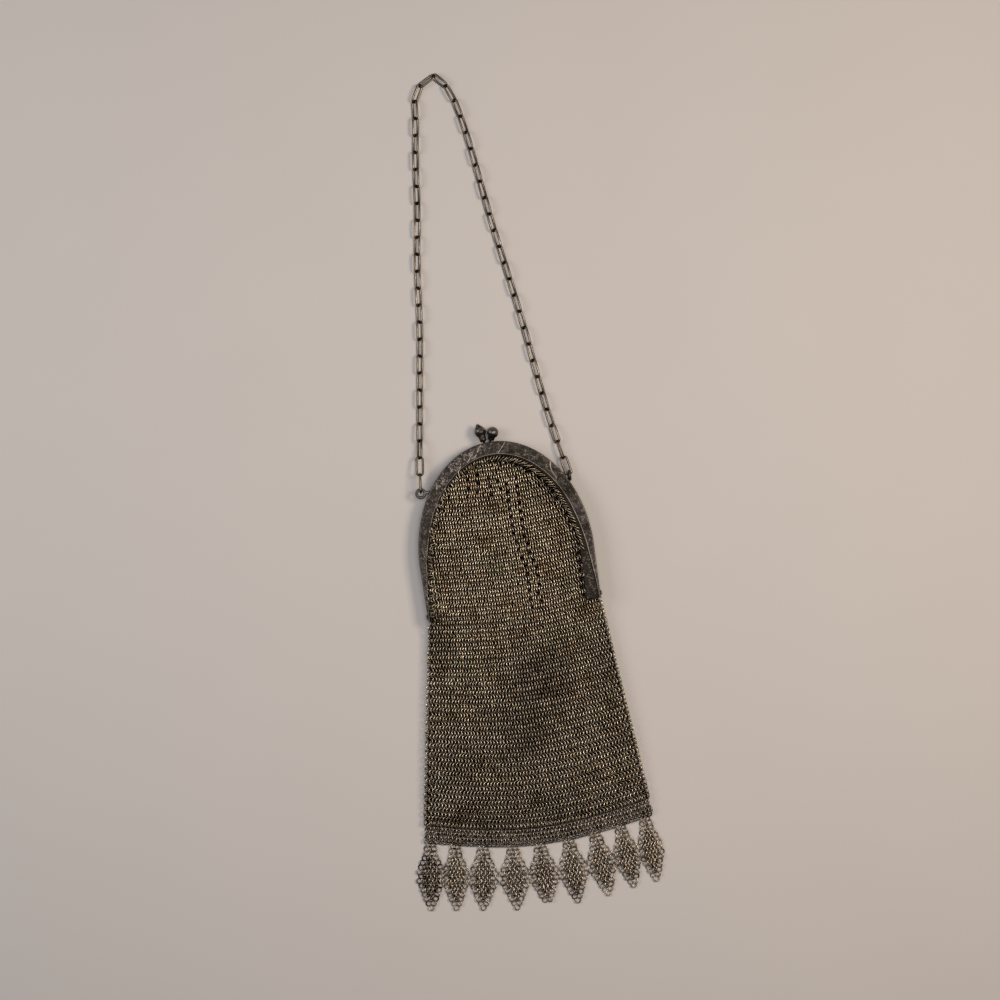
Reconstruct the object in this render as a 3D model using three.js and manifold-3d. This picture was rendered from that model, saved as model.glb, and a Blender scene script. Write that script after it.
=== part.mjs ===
// Metal mesh purse, closed and lying flat: an arched hinged frame with a ball clasp, a chain handle,
// a hollow bag of ring mesh, and a fringe of nine mesh diamonds.
// Millimetres, +Z up. The origin is the middle of the footprint, on the surface that it lies on.
// The frame, the bag and the fringe share the frame's own axes: +X across the arms, +Y up to the
// clasp, with the line through the two hinge ends at Y = 0.

import * as THREE from 'three';
import { mergeVertices } from 'three/addons/utils/BufferGeometryUtils.js';
import Module from 'manifold-3d';

const wasm = await Module();
wasm.setup();

// Where the frame lies, and how far it leans
const HINGE_X = -11.45;           // middle of the hinge line on the surface
const HINGE_Y = -61.1;
const FRAME_LEAN = 8.25;          // degrees that the clasp leans towards -X

// Frame
const FRAME_WIDTH = 91;           // outside, at the widest
const FRAME_HEIGHT = 88.1;        // hinge line to the outside of the arch
const ARM_HEIGHT = 28.6;          // straight arm below the arch
const ARM_TAPER = 0.4;            // each arm leans in by this much at the hinge line
const FRAME_DEPTH = 9.6;          // both halves, closed
const SHEET = 0.9;                // stamped metal
const RIM_WALL = 1.2;             // outer rim of each half
const FACE_STEP = 0.9;            // engraved face stands this far above the flange
const FACE_TOP_WIDTH = 6.5;       // engraved crescent at the top of the arch
const FACE_END_WIDTH = 0.8;       // and at the hinge line
const FLANGE_WIDTH = 7.4;         // outer edge to the flange's inner edge
const CLEARANCE = 0.3;            // between pieces that touch on the real purse

// Hinges
const HINGE_RADIUS = 2.4;         // rounded end of a lug
const LUG_THICKNESS = 1.1;
const RIVET_RADIUS = 0.8;
const RIVET_HEAD_RADIUS = 1.5;
const RIVET_HEAD = 0.8;           // thickness of a rivet's head

// Ball clasp
const BALL_RADIUS = 3;
const FRONT_BALL = { x: -4.5, rise: 5.8, height: 0.55 };   // height is a share of the frame's depth
const BACK_BALL = { x: 1.8, rise: 4.6, height: 0.45 };
const FRONT_FOOT_X = -3.3;
const BACK_FOOT_X = -0.2;
const STEM_RADIUS = 1.1;
const FOOT_RADIUS = 1.4;          // stem where it stands on the rim
const TAIL_RADIUS = 0.6;          // pin of the stem that is riveted through the rim
const TAIL_LENGTH = 2;
const PEAK_HEIGHT = 0.9;          // the front ball's cap is drawn up into a point

// Ears for the chain
const LEFT_EAR_HEIGHT = 66.6;     // above the hinge line
const RIGHT_EAR_HEIGHT = 65;
const EAR_RADIUS = 2.15;          // middle of the wire
const EAR_WIRE = 1.5;
const LEFT_EAR_REACH = 4.6;       // ear's middle outside the rim
const RIGHT_EAR_REACH = 2.3;
const EAR_NECK_RADIUS = 0.7;

// Chain
const LINK_PITCH = 8.8;
const LINK_WIDTH = 4.3;           // outside
const CHAIN_WIRE = 1;
const LINK_BEDDING = 0.25;        // how deep the worn links bed into each other
const LINK_ROLL = 45;             // degrees that the links lie turned about the chain, left and right
const TURNING_LINKS = 3;          // links over which the chain turns from the ear's way to its own
const RAISED_LINKS = 4;           // links that hang between an ear and the surface
const CHAIN_ROUTE = [             // the way that the chain is laid on the surface, between the ears
  [-60.9, 15], [-60.9, 29.3], [-60.9, 56.7], [-60.9, 84], [-62.3, 119.6], [-62.2, 145.9],
  [-63.1, 171.3], [-63.2, 197.2], [-63.6, 205.6], [-60.3, 212.1], [-52.1, 216.9], [-46.4, 209.9],
  [-42.5, 202.8], [-36.8, 186.8], [-29.7, 162.2], [-22.5, 137.1], [-14.6, 112.1], [-6.8, 86.2],
  [0.4, 59.9], [5.3, 43], [9.5, 30],
];

// Bag
const MESH_WALL = 1.4;            // thickness of the ring mesh
const BAG_TOP_WIDTH = 88.5;       // at the hinge line
const BAG_BOTTOM_WIDTH = 116.3;
const BAG_LENGTH = 104.5;         // hinge line to the bottom corners
const BAG_SWING = -3.6;           // middle of the bottom, to the side of the frame's axis
const BAG_CORNER_DROP = 1.3;      // right corner lower and left corner higher by this much
const TOP_SAG = 3.5;              // how far the rows of rings bow down at the hinge line
const BOTTOM_SAG = 8;             // and at the bottom edge
// Sections down the bag. Down is -1 at the top of the arch, 0 at the hinge line, 1 at the bottom.
// Front and back are heights above the surface, as shares of the frame's depth.
const BAG_SECTIONS = [
  { down: -1.02, front: 0.90, back: 0.09 },
  { down: -0.70, front: 0.89, back: 0.09 },
  { down: -0.35, front: 0.89, back: 0.09 },
  { down: -0.06, front: 0.90, back: 0.08 },
  { down: 0.06, front: 0.89, back: 0.02 },
  { down: 0.20, front: 0.87, back: 0.00 },
  { down: 0.40, front: 0.84, back: 0.00 },
  { down: 0.60, front: 0.80, back: 0.00 },
  { down: 0.78, front: 0.73, back: 0.00 },
  { down: 0.90, front: 0.63, back: 0.00 },
  { down: 1.00, front: 0.40, back: 0.00 },
];
// Soft folds of the front: each runs from one place on the bag to another. Across is 0 to 1 from
// the left side, down is as above, rise is a share of the frame's depth and spread of the top width.
const BAG_FOLDS = [
  { fromAcross: 0.54, fromDown: -0.78, toAcross: 0.67, toDown: 0.05, rise: 0.03, spread: 0.06 },
  { fromAcross: 0.50, fromDown: -0.75, toAcross: 0.62, toDown: 0.02, rise: -0.04, spread: 0.04 },
  { fromAcross: 0.36, fromDown: -0.80, toAcross: 0.33, toDown: -0.30, rise: -0.03, spread: 0.05 },
  { fromAcross: 0.16, fromDown: 0.05, toAcross: 0.24, toDown: 0.70, rise: -0.04, spread: 0.07 },
  { fromAcross: 0.80, fromDown: 0.05, toAcross: 0.84, toDown: 0.75, rise: -0.04, spread: 0.08 },
  { fromAcross: 0.55, fromDown: 0.25, toAcross: 0.48, toDown: 0.92, rise: 0.04, spread: 0.09 },
];
const BAG_COLUMNS = 14;           // facets across each side of the bag
const SIDE_SHARE = 0.45;          // thickness at the side seams, as a share of the middle's
const SEAM_LIFT = 0.25;           // how much of that thinning lifts the back off the surface
const SLIT = 0.4;                 // least thickness of the hollow

// Fringe
const FRINGE_WALL = 1.6;          // thickness of its larger ring mesh
const BAND_DEPTH = 10.8;          // bag's bottom edge to the necks of the diamonds
const NECK_WIDTH = 4.4;
const DIAMOND_LENGTH = 33;        // neck to tip
const DIAMOND_WIDTH = 14.6;
const WIDEST_SHARE = 0.44;        // where the diamond is widest, from the neck
const TIP_WIDTH = 2.2;
// One row for each diamond: where it hangs on the bottom edge from 0 to 1, how far it leans in
// degrees (+ is towards +X at the tip), and its length and width as shares of the sizes above.
const DIAMONDS = [
  { across: 0.028, lean: -7.2, length: 1.03, width: 0.82 },
  { across: 0.135, lean: -6.8, length: 1.00, width: 0.80 },
  { across: 0.255, lean: -7.8, length: 0.975, width: 0.88 },
  { across: 0.380, lean: -4.0, length: 0.97, width: 1.00 },
  { across: 0.496, lean: -1.0, length: 0.91, width: 0.96 },
  { across: 0.618, lean: 0.4, length: 0.965, width: 0.94 },
  { across: 0.732, lean: 4.6, length: 0.985, width: 0.95 },
  { across: 0.846, lean: 4.4, length: 0.965, width: 0.84 },
  { across: 0.958, lean: 2.2, length: 1.00, width: 0.82 },
];

// Colours of the tarnished metal
const FRAME_COLOUR = 0x6b6157;
const RIVET_COLOUR = 0x5a5148;
const KNOB_COLOUR = 0x8a7d6d;
const CHAIN_COLOUR = 0x8b7c66;
const MESH_COLOUR = 0x84745f;
const FRINGE_COLOUR = 0x94846e;

const DEGREE = Math.PI / 180;
const FRONT = true;
const BACK = false;

// Small helpers for solids

function solidOf(geometry) {
  const bare = geometry.clone();
  bare.deleteAttribute('normal');
  bare.deleteAttribute('uv');
  const merged = mergeVertices(bare, 1e-5);
  return new wasm.Manifold(new wasm.Mesh({
    numProp: 3,
    vertProperties: new Float32Array(merged.attributes.position.array),
    triVerts: new Uint32Array(merged.index.array),
  }));
}

function geometryOf(solid) {
  const mesh = solid.getMesh();
  const geometry = new THREE.BufferGeometry();
  geometry.setAttribute('position', new THREE.BufferAttribute(mesh.vertProperties, 3));
  geometry.setIndex(new THREE.BufferAttribute(mesh.triVerts, 1));
  const flat = geometry.toNonIndexed();
  flat.computeVertexNormals();
  return flat;
}

function joined(solids) {
  return solids.reduce((whole, solid) => whole.add(solid));
}

function piece(name, solid, color, roughness) {
  const material = new THREE.MeshStandardMaterial({ color, roughness, metalness: 1 });
  const mesh = new THREE.Mesh(geometryOf(solid), material);
  mesh.name = name;
  return mesh;
}

// A flat plate of an outline, from one height to another.
function plate(points, low, high) {
  const shape = new THREE.Shape(points);
  const geometry = new THREE.ExtrudeGeometry(shape, { depth: high - low, bevelEnabled: false });
  return solidOf(geometry.translate(0, 0, low));
}

// A turned pin from one point to another, with its profile as [radius, distance along] pairs.
function turned(profile, from, to, sides) {
  const points = profile.map(([radius, along]) => new THREE.Vector2(radius, along));
  const geometry = new THREE.LatheGeometry(points, sides);
  const way = new THREE.Vector3().subVectors(to, from).normalize();
  const turn = new THREE.Quaternion().setFromUnitVectors(new THREE.Vector3(0, 1, 0), way);
  geometry.applyQuaternion(turn);
  return solidOf(geometry.translate(from.x, from.y, from.z));
}

function rod(radius, from, to, sides) {
  const length = from.distanceTo(to);
  return turned([[0, 0], [radius, 0], [radius, length], [0, length]], from, to, sides);
}

function smooth(share) {
  const clipped = Math.min(Math.max(share, 0), 1);
  return clipped * clipped * (3 - 2 * clipped);
}

// The frame's outline: straight arms that lean in a little, and half an ellipse above them

const HALF_WIDTH = FRAME_WIDTH / 2;
const ARM_STEPS = 3;
const ARCH_STEPS = 20;

function archOutline() {
  const points = [];
  const armEnd = HALF_WIDTH - ARM_TAPER;
  for (let i = 0; i < ARM_STEPS; i += 1) {
    const share = i / ARM_STEPS;
    points.push(new THREE.Vector2(-armEnd - ARM_TAPER * share, ARM_HEIGHT * share));
  }
  for (let i = 0; i <= ARCH_STEPS; i += 1) {
    const angle = Math.PI * (1 - i / ARCH_STEPS);
    const rise = (FRAME_HEIGHT - ARM_HEIGHT) * Math.sin(angle);
    points.push(new THREE.Vector2(HALF_WIDTH * Math.cos(angle), ARM_HEIGHT + rise));
  }
  for (let i = ARM_STEPS - 1; i >= 0; i -= 1) {
    const share = i / ARM_STEPS;
    points.push(new THREE.Vector2(armEnd + ARM_TAPER * share, ARM_HEIGHT * share));
  }
  return points;
}

const OUTLINE = archOutline();

// The outline moved inwards, by a distance that may depend on the height above the hinge line.
function inside(distanceAt) {
  return OUTLINE.map((point, i) => {
    const before = OUTLINE[Math.max(i - 1, 0)];
    const after = OUTLINE[Math.min(i + 1, OUTLINE.length - 1)];
    const along = after.clone().sub(before).normalize();
    const inwards = new THREE.Vector2(along.y, -along.x);
    const moved = point.clone().addScaledVector(inwards, distanceAt(point.y));
    const isEnd = i === 0 || i === OUTLINE.length - 1;
    return isEnd ? new THREE.Vector2(moved.x, point.y) : moved;
  });
}

// Half the frame's outside width at a height in the arch.
function rimAt(height) {
  const share = (height - ARM_HEIGHT) / (FRAME_HEIGHT - ARM_HEIGHT);
  return HALF_WIDTH * Math.sqrt(1 - share * share);
}

function faceWidth(height) {
  const share = Math.min(Math.max(height / FRAME_HEIGHT, 0), 1);
  return FACE_END_WIDTH + (FACE_TOP_WIDTH - FACE_END_WIDTH) * share ** 0.75;
}

function ringPlate(distanceAt, low, high) {
  return plate([...OUTLINE, ...inside(distanceAt).reverse()], low, high);
}

// Heights of a layer of one half, given how deep it lies under that half's outer face.
function layer(isFront, shallow, deep) {
  return isFront ? [FRAME_DEPTH - deep, FRAME_DEPTH - shallow] : [shallow, deep];
}

// Hinges. The lugs of the two halves stand side by side inside each arm, on one rivet.

const HALF_DEPTH = (FRAME_DEPTH - CLEARANCE) / 2;
const MIDDLE = FRAME_DEPTH / 2;
const ARM_END = HALF_WIDTH - ARM_TAPER;
const FRONT_LUG = ARM_END - RIM_WALL - CLEARANCE - LUG_THICKNESS;    // inner side of the lug
const BACK_LUG = FRONT_LUG - CLEARANCE - LUG_THICKNESS;
const LUG_ROOT = FACE_STEP + SHEET / 2;                              // the lug starts in the flange

// A lug is a tab with a rounded end around the rivet.
function lug(isFront, side) {
  const inner = isFront ? FRONT_LUG : BACK_LUG;
  const root = isFront ? FRAME_DEPTH - LUG_ROOT : LUG_ROOT;
  const shape = new THREE.Shape();
  shape.moveTo(-root, 0);
  shape.lineTo(-MIDDLE, 0);
  shape.absarc(-MIDDLE, HINGE_RADIUS, HINGE_RADIUS, -Math.PI / 2, Math.PI / 2, isFront);
  shape.lineTo(-root, 2 * HINGE_RADIUS);
  const geometry = new THREE.ExtrudeGeometry(shape, {
    depth: LUG_THICKNESS, bevelEnabled: false, curveSegments: 6,
  });
  geometry.rotateY(Math.PI / 2);
  const left = side < 0 ? -inner - LUG_THICKNESS : inner;
  return solidOf(geometry.translate(left, 0, 0));
}

function rivetEnds(side, margin) {
  const inner = BACK_LUG - CLEARANCE - RIVET_HEAD - margin;
  const outer = ARM_END + CLEARANCE + RIVET_HEAD + margin;
  const at = (x) => new THREE.Vector3(side * x, HINGE_RADIUS, MIDDLE);
  return [at(inner), at(outer)];
}

function hingeRivet(side) {
  const [inner, outer] = rivetEnds(side, 0);
  const length = inner.distanceTo(outer);
  return turned([
    [0, 0], [RIVET_HEAD_RADIUS, 0], [RIVET_HEAD_RADIUS, RIVET_HEAD], [RIVET_RADIUS, RIVET_HEAD],
    [RIVET_RADIUS, length - RIVET_HEAD], [RIVET_HEAD_RADIUS, length - RIVET_HEAD],
    [RIVET_HEAD_RADIUS * 0.7, length], [0, length],
  ], inner, outer, 10);
}

function rivetHole(side) {
  const [inner, outer] = rivetEnds(side, 1);
  return rod(RIVET_RADIUS + CLEARANCE, inner, outer, 10);
}

// Ball clasp. Each knob stands on its half's rim, with a tail riveted through it.

function knobLine(isFront) {
  const ball = isFront ? FRONT_BALL : BACK_BALL;
  const footX = isFront ? FRONT_FOOT_X : BACK_FOOT_X;
  const [low, high] = layer(isFront, FACE_STEP + SHEET, HALF_DEPTH);
  const foot = new THREE.Vector3(footX, FRAME_HEIGHT, (low + high) / 2);
  const middle = new THREE.Vector3(ball.x, FRAME_HEIGHT + ball.rise, FRAME_DEPTH * ball.height);
  return { foot, middle };
}

function knob(isFront) {
  const { foot, middle } = knobLine(isFront);
  const reach = foot.distanceTo(middle);
  const way = middle.clone().sub(foot).normalize();
  const start = foot.clone().addScaledVector(way, -TAIL_LENGTH);
  const slant = Math.sqrt(1 - way.y * way.y) / way.y;
  const seat = TAIL_LENGTH + CLEARANCE + FOOT_RADIUS * slant;
  const centre = TAIL_LENGTH + reach;
  const profile = [[0, 0], [TAIL_RADIUS, 0], [TAIL_RADIUS, seat], [FOOT_RADIUS, seat],
    [STEM_RADIUS, seat + FOOT_RADIUS - STEM_RADIUS]];
  const BALL_ROWS = 7;
  const neck = Math.asin(STEM_RADIUS / BALL_RADIUS);
  for (let i = 0; i <= BALL_ROWS; i += 1) {
    const angle = neck + (Math.PI - neck) * (i / BALL_ROWS);
    const radius = i === BALL_ROWS ? 0 : BALL_RADIUS * Math.sin(angle);
    const peak = isFront && i === BALL_ROWS ? PEAK_HEIGHT : 0;
    profile.push([radius, centre - BALL_RADIUS * Math.cos(angle) + peak]);
  }
  return turned(profile, start, middle, 12);
}

// The hole in the rim for the knob's tail.
function knobHole(isFront) {
  const { foot, middle } = knobLine(isFront);
  const way = middle.clone().sub(foot).normalize();
  const from = foot.clone().addScaledVector(way, -TAIL_LENGTH - CLEARANCE);
  return rod(TAIL_RADIUS + CLEARANCE, from, foot.clone().addScaledVector(way, 1), 10);
}

// Ears. The left one lies flat on the front half, and the right one stands on the back half.

const EAR_SIDES = 12;
const EAR_WIRE_SIDES = 6;
const EAR_OUTSIDE = EAR_RADIUS + EAR_WIRE / 2;

function earMiddle(side) {
  const reach = side < 0 ? LEFT_EAR_REACH : RIGHT_EAR_REACH;
  const along = side < 0 ? LEFT_EAR_HEIGHT : RIGHT_EAR_HEIGHT;
  const height = side < 0 ? FRAME_DEPTH - HALF_DEPTH + EAR_WIRE : EAR_OUTSIDE;
  return new THREE.Vector3(side * (rimAt(along) + reach), along, height);
}

function ear(side) {
  const ring = new THREE.TorusGeometry(EAR_RADIUS, EAR_WIRE / 2, EAR_WIRE_SIDES, EAR_SIDES);
  if (side > 0) ring.rotateY(Math.PI / 2);
  const middle = earMiddle(side);
  ring.translate(middle.x, middle.y, middle.z);
  const down = side > 0 ? EAR_RADIUS : 0;
  const sideways = side > 0 ? 0 : EAR_RADIUS;
  const onRing = new THREE.Vector3(middle.x - side * sideways, middle.y - down, middle.z);
  const inRim = onRing.clone();
  inRim.x = side * (rimAt(onRing.y) - RIM_WALL / 2);
  return solidOf(ring).add(rod(EAR_NECK_RADIUS, inRim, onRing, 8));
}

function frameHalf(isFront) {
  const face = ringPlate(faceWidth, ...layer(isFront, 0, FACE_STEP + SHEET));
  const flange = ringPlate(() => FLANGE_WIDTH, ...layer(isFront, FACE_STEP, FACE_STEP + SHEET));
  const rim = ringPlate(() => RIM_WALL, ...layer(isFront, 0, HALF_DEPTH));
  const earSide = isFront ? -1 : 1;
  const whole = joined([face, flange, rim, lug(isFront, -1), lug(isFront, 1), ear(earSide)]);
  return whole.subtract(rivetHole(-1)).subtract(rivetHole(1)).subtract(knobHole(isFront));
}

// Chain. Oval links at an even pitch along a smooth route, each turned a quarter to the next one.

function toSurface(point) {
  const axis = new THREE.Vector3(0, 0, 1);
  const moved = point.clone().applyAxisAngle(axis, FRAME_LEAN * DEGREE);
  return moved.add(new THREE.Vector3(HINGE_X, HINGE_Y, 0));
}

// The first joint of the chain: its end link holds the ear's wire with a clearance.
function chainEnd(side, next) {
  const middle = toSurface(earMiddle(side)).setZ(0);
  const way = new THREE.Vector3().subVectors(next, middle).normalize();
  const hold = EAR_RADIUS - EAR_WIRE / 2 - CLEARANCE - CHAIN_WIRE / 2;
  return middle.addScaledVector(way, hold + (CHAIN_WIRE - LINK_BEDDING) / 2);
}

const LIE_HEIGHT = ((LINK_WIDTH - CHAIN_WIRE) * Math.sin(LINK_ROLL * DEGREE) + CHAIN_WIRE) / 2;

// The joints between the links, evenly spaced along the route and raised towards both ears.
function chainJoints() {
  const laid = CHAIN_ROUTE.map(([x, y]) => new THREE.Vector3(x, y, 0));
  const left = chainEnd(-1, laid[0]);
  const right = chainEnd(1, laid[laid.length - 1]);
  const route = new THREE.CatmullRomCurve3([left, ...laid, right], false, 'centripetal');
  const count = Math.round(route.getLength() / LINK_PITCH);
  route.arcLengthDivisions = count * 20;
  route.updateArcLengths();
  return route.getSpacedPoints(count).map((joint, i) => {
    const leftRise = (earMiddle(-1).z - LIE_HEIGHT) * (1 - smooth(i / RAISED_LINKS));
    const rightRise = (earMiddle(1).z - LIE_HEIGHT) * (1 - smooth((count - i) / RAISED_LINKS));
    return joint.setZ(LIE_HEIGHT + leftRise + rightRise);
  });
}

// An oval link is a wire ring pulled apart in the middle.
function link(length) {
  const radius = (LINK_WIDTH - CHAIN_WIRE) / 2;
  const ring = new THREE.TorusGeometry(radius, CHAIN_WIRE / 2, 5, 10);
  const pull = (length - LINK_WIDTH) / 2;
  const position = ring.attributes.position;
  for (let i = 0; i < position.count; i += 1) {
    position.setX(i, position.getX(i) + Math.sign(position.getX(i)) * pull);
  }
  return ring;
}

function linkRoll(number, count) {
  const quarter = number % 2 === 0 ? 90 : 0;
  const fromLeft = smooth(number / TURNING_LINKS);
  const fromRight = smooth((count - 1 - number) / TURNING_LINKS);
  const endTurn = count % 2 === 0 ? 0 : 90;
  const settled = LINK_ROLL * fromLeft;
  const closing = (LINK_ROLL + endTurn) * (1 - fromRight);
  return quarter + settled - closing;
}

function chain() {
  const joints = chainJoints();
  const count = joints.length - 1;
  const links = [];
  for (let i = 0; i < count; i += 1) {
    const span = joints[i].distanceTo(joints[i + 1]);
    const geometry = link(span + 2 * CHAIN_WIRE - LINK_BEDDING);
    geometry.rotateX(linkRoll(i, count) * DEGREE);
    const way = new THREE.Vector3().subVectors(joints[i + 1], joints[i]).normalize();
    const across = new THREE.Vector3(-way.y, way.x, 0).normalize();
    const up = new THREE.Vector3().crossVectors(way, across);
    const middle = new THREE.Vector3().addVectors(joints[i], joints[i + 1]).multiplyScalar(0.5);
    geometry.applyMatrix4(new THREE.Matrix4().makeBasis(way, across, up));
    links.push(solidOf(geometry.translate(middle.x, middle.y, middle.z)));
  }
  return joined(links);
}

// Bag. Its rows of rings bow down, so a place on it is given by across (0 to 1) and down (-1 to 1).

function bagPlace(across, down) {
  const side = across - 0.5;
  const sag = Math.sin(Math.PI * across);
  if (down < 0) {
    const y = -down * FRAME_HEIGHT - TOP_SAG * sag;
    return new THREE.Vector2(side * BAG_TOP_WIDTH, y);
  }
  const width = BAG_TOP_WIDTH + (BAG_BOTTOM_WIDTH - BAG_TOP_WIDTH) * down;
  const bow = TOP_SAG + (BOTTOM_SAG - TOP_SAG) * down;
  const drop = BAG_LENGTH * down + 2 * BAG_CORNER_DROP * side * down;
  return new THREE.Vector2(side * width + BAG_SWING * down, -drop - bow * sag);
}

// Rise of the folds at a place on the bag, in millimetres.
function foldRise(across, down) {
  const here = bagPlace(across, down);
  return BAG_FOLDS.reduce((sum, fold) => {
    const from = bagPlace(fold.fromAcross, fold.fromDown);
    const to = bagPlace(fold.toAcross, fold.toDown);
    const line = to.clone().sub(from);
    const along = here.clone().sub(from).dot(line) / line.lengthSq();
    const nearest = from.addScaledVector(line, Math.min(Math.max(along, 0), 1));
    const far = here.distanceTo(nearest) / (fold.spread * BAG_TOP_WIDTH);
    return sum + fold.rise * FRAME_DEPTH * Math.exp(-far * far);
  }, 0);
}

// Front and back heights at a place, with the sides of the bag rounded below the hinge line.
function bagHeights(across, section) {
  const front = section.front * FRAME_DEPTH;
  const back = section.back * FRAME_DEPTH;
  const edge = Math.abs(2 * across - 1) ** 4;
  const rounded = SIDE_SHARE + (1 - SIDE_SHARE) * Math.sqrt(1 - edge);
  const roundness = smooth((section.down + 0.1) * 5);
  const share = 1 + (rounded - 1) * roundness;
  const folds = foldRise(across, section.down) * Math.sqrt(1 - edge);
  const bottom = back + (front - back) * (1 - share) * SEAM_LIFT;
  return { front: bottom + (front - back) * share + folds, back: bottom };
}

// A closed pouch through the bag's sections, with its sides and bottom moved in by an inset.
function pouch(inset) {
  const sections = BAG_SECTIONS.filter((section) => section.down * BAG_LENGTH < BAG_LENGTH - inset);
  const last = BAG_SECTIONS[BAG_SECTIONS.length - 1];
  const bottom = { ...last, down: 1 - inset / BAG_LENGTH };
  const rows = [...sections, bottom];
  const position = [];
  for (const section of rows) {
    const width = section.down < 0 ? BAG_TOP_WIDTH : BAG_BOTTOM_WIDTH;
    for (let i = 0; i <= BAG_COLUMNS; i += 1) {
      const across = inset / width + (1 - 2 * inset / width) * (i / BAG_COLUMNS);
      const place = bagPlace(across, section.down);
      const heights = bagHeights(across, section);
      const middle = (heights.front + heights.back) / 2;
      const least = inset > 0 ? SLIT / 2 : 0;
      const half = Math.max((heights.front - heights.back) / 2 - inset, least);
      position.push(place.x, place.y, middle + half, place.x, place.y, middle - half);
    }
  }
  const index = [];
  const at = (row, column, isFront) => 2 * (row * (BAG_COLUMNS + 1) + column) + (isFront ? 0 : 1);
  const quad = (a, b, c, d) => index.push(a, b, c, a, c, d);
  for (let row = 0; row + 1 < rows.length; row += 1) {
    for (let i = 0; i < BAG_COLUMNS; i += 1) {
      quad(at(row, i, FRONT), at(row + 1, i, FRONT), at(row + 1, i + 1, FRONT), at(row, i + 1, FRONT));
      quad(at(row, i, BACK), at(row, i + 1, BACK), at(row + 1, i + 1, BACK), at(row + 1, i, BACK));
    }
    const right = BAG_COLUMNS;
    quad(at(row, 0, FRONT), at(row, 0, BACK), at(row + 1, 0, BACK), at(row + 1, 0, FRONT));
    quad(at(row, right, FRONT), at(row + 1, right, FRONT), at(row + 1, right, BACK), at(row, right, BACK));
  }
  const end = rows.length - 1;
  for (let i = 0; i < BAG_COLUMNS; i += 1) {
    quad(at(0, i, FRONT), at(0, i + 1, FRONT), at(0, i + 1, BACK), at(0, i, BACK));
    quad(at(end, i, FRONT), at(end, i, BACK), at(end, i + 1, BACK), at(end, i + 1, FRONT));
  }
  const geometry = new THREE.BufferGeometry();
  geometry.setAttribute('position', new THREE.Float32BufferAttribute(position, 3));
  geometry.setIndex(index);
  return solidOf(geometry);
}

// The bag fills the frame inside its flange, and is free below the hinge line.
function bagReach() {
  const mouth = inside(() => FLANGE_WIDTH + CLEARANCE);
  const far = BAG_BOTTOM_WIDTH;
  const low = -1.5 * BAG_LENGTH;
  const outline = mouth.filter((point) => point.y > 0);
  const first = outline[0];
  const last = outline[outline.length - 1];
  return plate([
    new THREE.Vector2(-far, -CLEARANCE), new THREE.Vector2(first.x, -CLEARANCE), ...outline,
    new THREE.Vector2(last.x, -CLEARANCE), new THREE.Vector2(far, -CLEARANCE),
    new THREE.Vector2(far, low), new THREE.Vector2(-far, low),
  ], -FRAME_DEPTH, 2 * FRAME_DEPTH);
}

function meshBag() {
  return pouch(0).subtract(pouch(MESH_WALL)).intersect(bagReach());
}

// Fringe. A band along the bag's bottom edge, and the nine diamonds that hang from it.

function bottomEdge(across, depth) {
  const step = 0.01;
  const here = bagPlace(across, 1);
  const along = bagPlace(across + step, 1).sub(bagPlace(across - step, 1)).normalize();
  return here.add(new THREE.Vector2(along.y, -along.x).multiplyScalar(depth));
}

function fringeBand() {
  const top = [];
  const hem = [];
  for (let i = 0; i <= BAG_COLUMNS; i += 1) {
    top.push(bottomEdge(i / BAG_COLUMNS, CLEARANCE));
    hem.push(bottomEdge(i / BAG_COLUMNS, BAND_DEPTH));
  }
  return plate([...top.reverse(), ...hem], 0, FRINGE_WALL);
}

function meshDiamond({ across, lean, length, width }) {
  const neck = bottomEdge(across, BAND_DEPTH);
  const long = DIAMOND_LENGTH * length;
  const wide = DIAMOND_WIDTH * width;
  const widest = long * WIDEST_SHARE;
  const half = [
    [NECK_WIDTH / 2, -FRINGE_WALL / 2], [NECK_WIDTH / 2, 0],
    [wide / 2, widest - TIP_WIDTH / 2], [wide / 2, widest + TIP_WIDTH / 2],
    [TIP_WIDTH / 2, long - TIP_WIDTH / 2], [TIP_WIDTH / 4, long],
  ];
  const right = half.map(([x, y]) => new THREE.Vector2(x, -y));
  const left = half.map(([x, y]) => new THREE.Vector2(-x, -y)).reverse();
  const origin = new THREE.Vector2(0, 0);
  const outline = [...left, ...right].map((point) => point.rotateAround(origin, lean * DEGREE).add(neck));
  return plate(outline, 0, FRINGE_WALL);
}

function diamondFringe() {
  return joined([fringeBand(), ...DIAMONDS.map(meshDiamond)]);
}

// The purse

const framed = new THREE.Group();
framed.position.set(HINGE_X, HINGE_Y, 0);
framed.rotation.z = FRAME_LEAN * DEGREE;
framed.add(
  piece('front_frame_half', frameHalf(FRONT), FRAME_COLOUR, 0.38),
  piece('back_frame_half', frameHalf(BACK), FRAME_COLOUR, 0.38),
  piece('hinge_rivet_left', hingeRivet(-1), RIVET_COLOUR, 0.35),
  piece('hinge_rivet_right', hingeRivet(1), RIVET_COLOUR, 0.35),
  piece('clasp_knob_front', knob(FRONT), KNOB_COLOUR, 0.3),
  piece('clasp_knob_back', knob(BACK), KNOB_COLOUR, 0.3),
  piece('mesh_bag', meshBag(), MESH_COLOUR, 0.45),
  piece('diamond_fringe', diamondFringe(), FRINGE_COLOUR, 0.45),
);

const purse = new THREE.Group();
purse.add(framed, piece('chain', chain(), CHAIN_COLOUR, 0.35));

export default purse;
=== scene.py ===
"""Metal mesh purse, closed and lying flat: its visible pieces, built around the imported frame.

Everything is in metres, in the frame's own place. Sizes that the solids also have are named as they
are there. The arched frame, the bag and the fringe share the frame's axes: X across the arms and Y up
to the clasp, with the line through the two hinge ends at Y = 0.
"""

import math
import random
from collections import namedtuple

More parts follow.
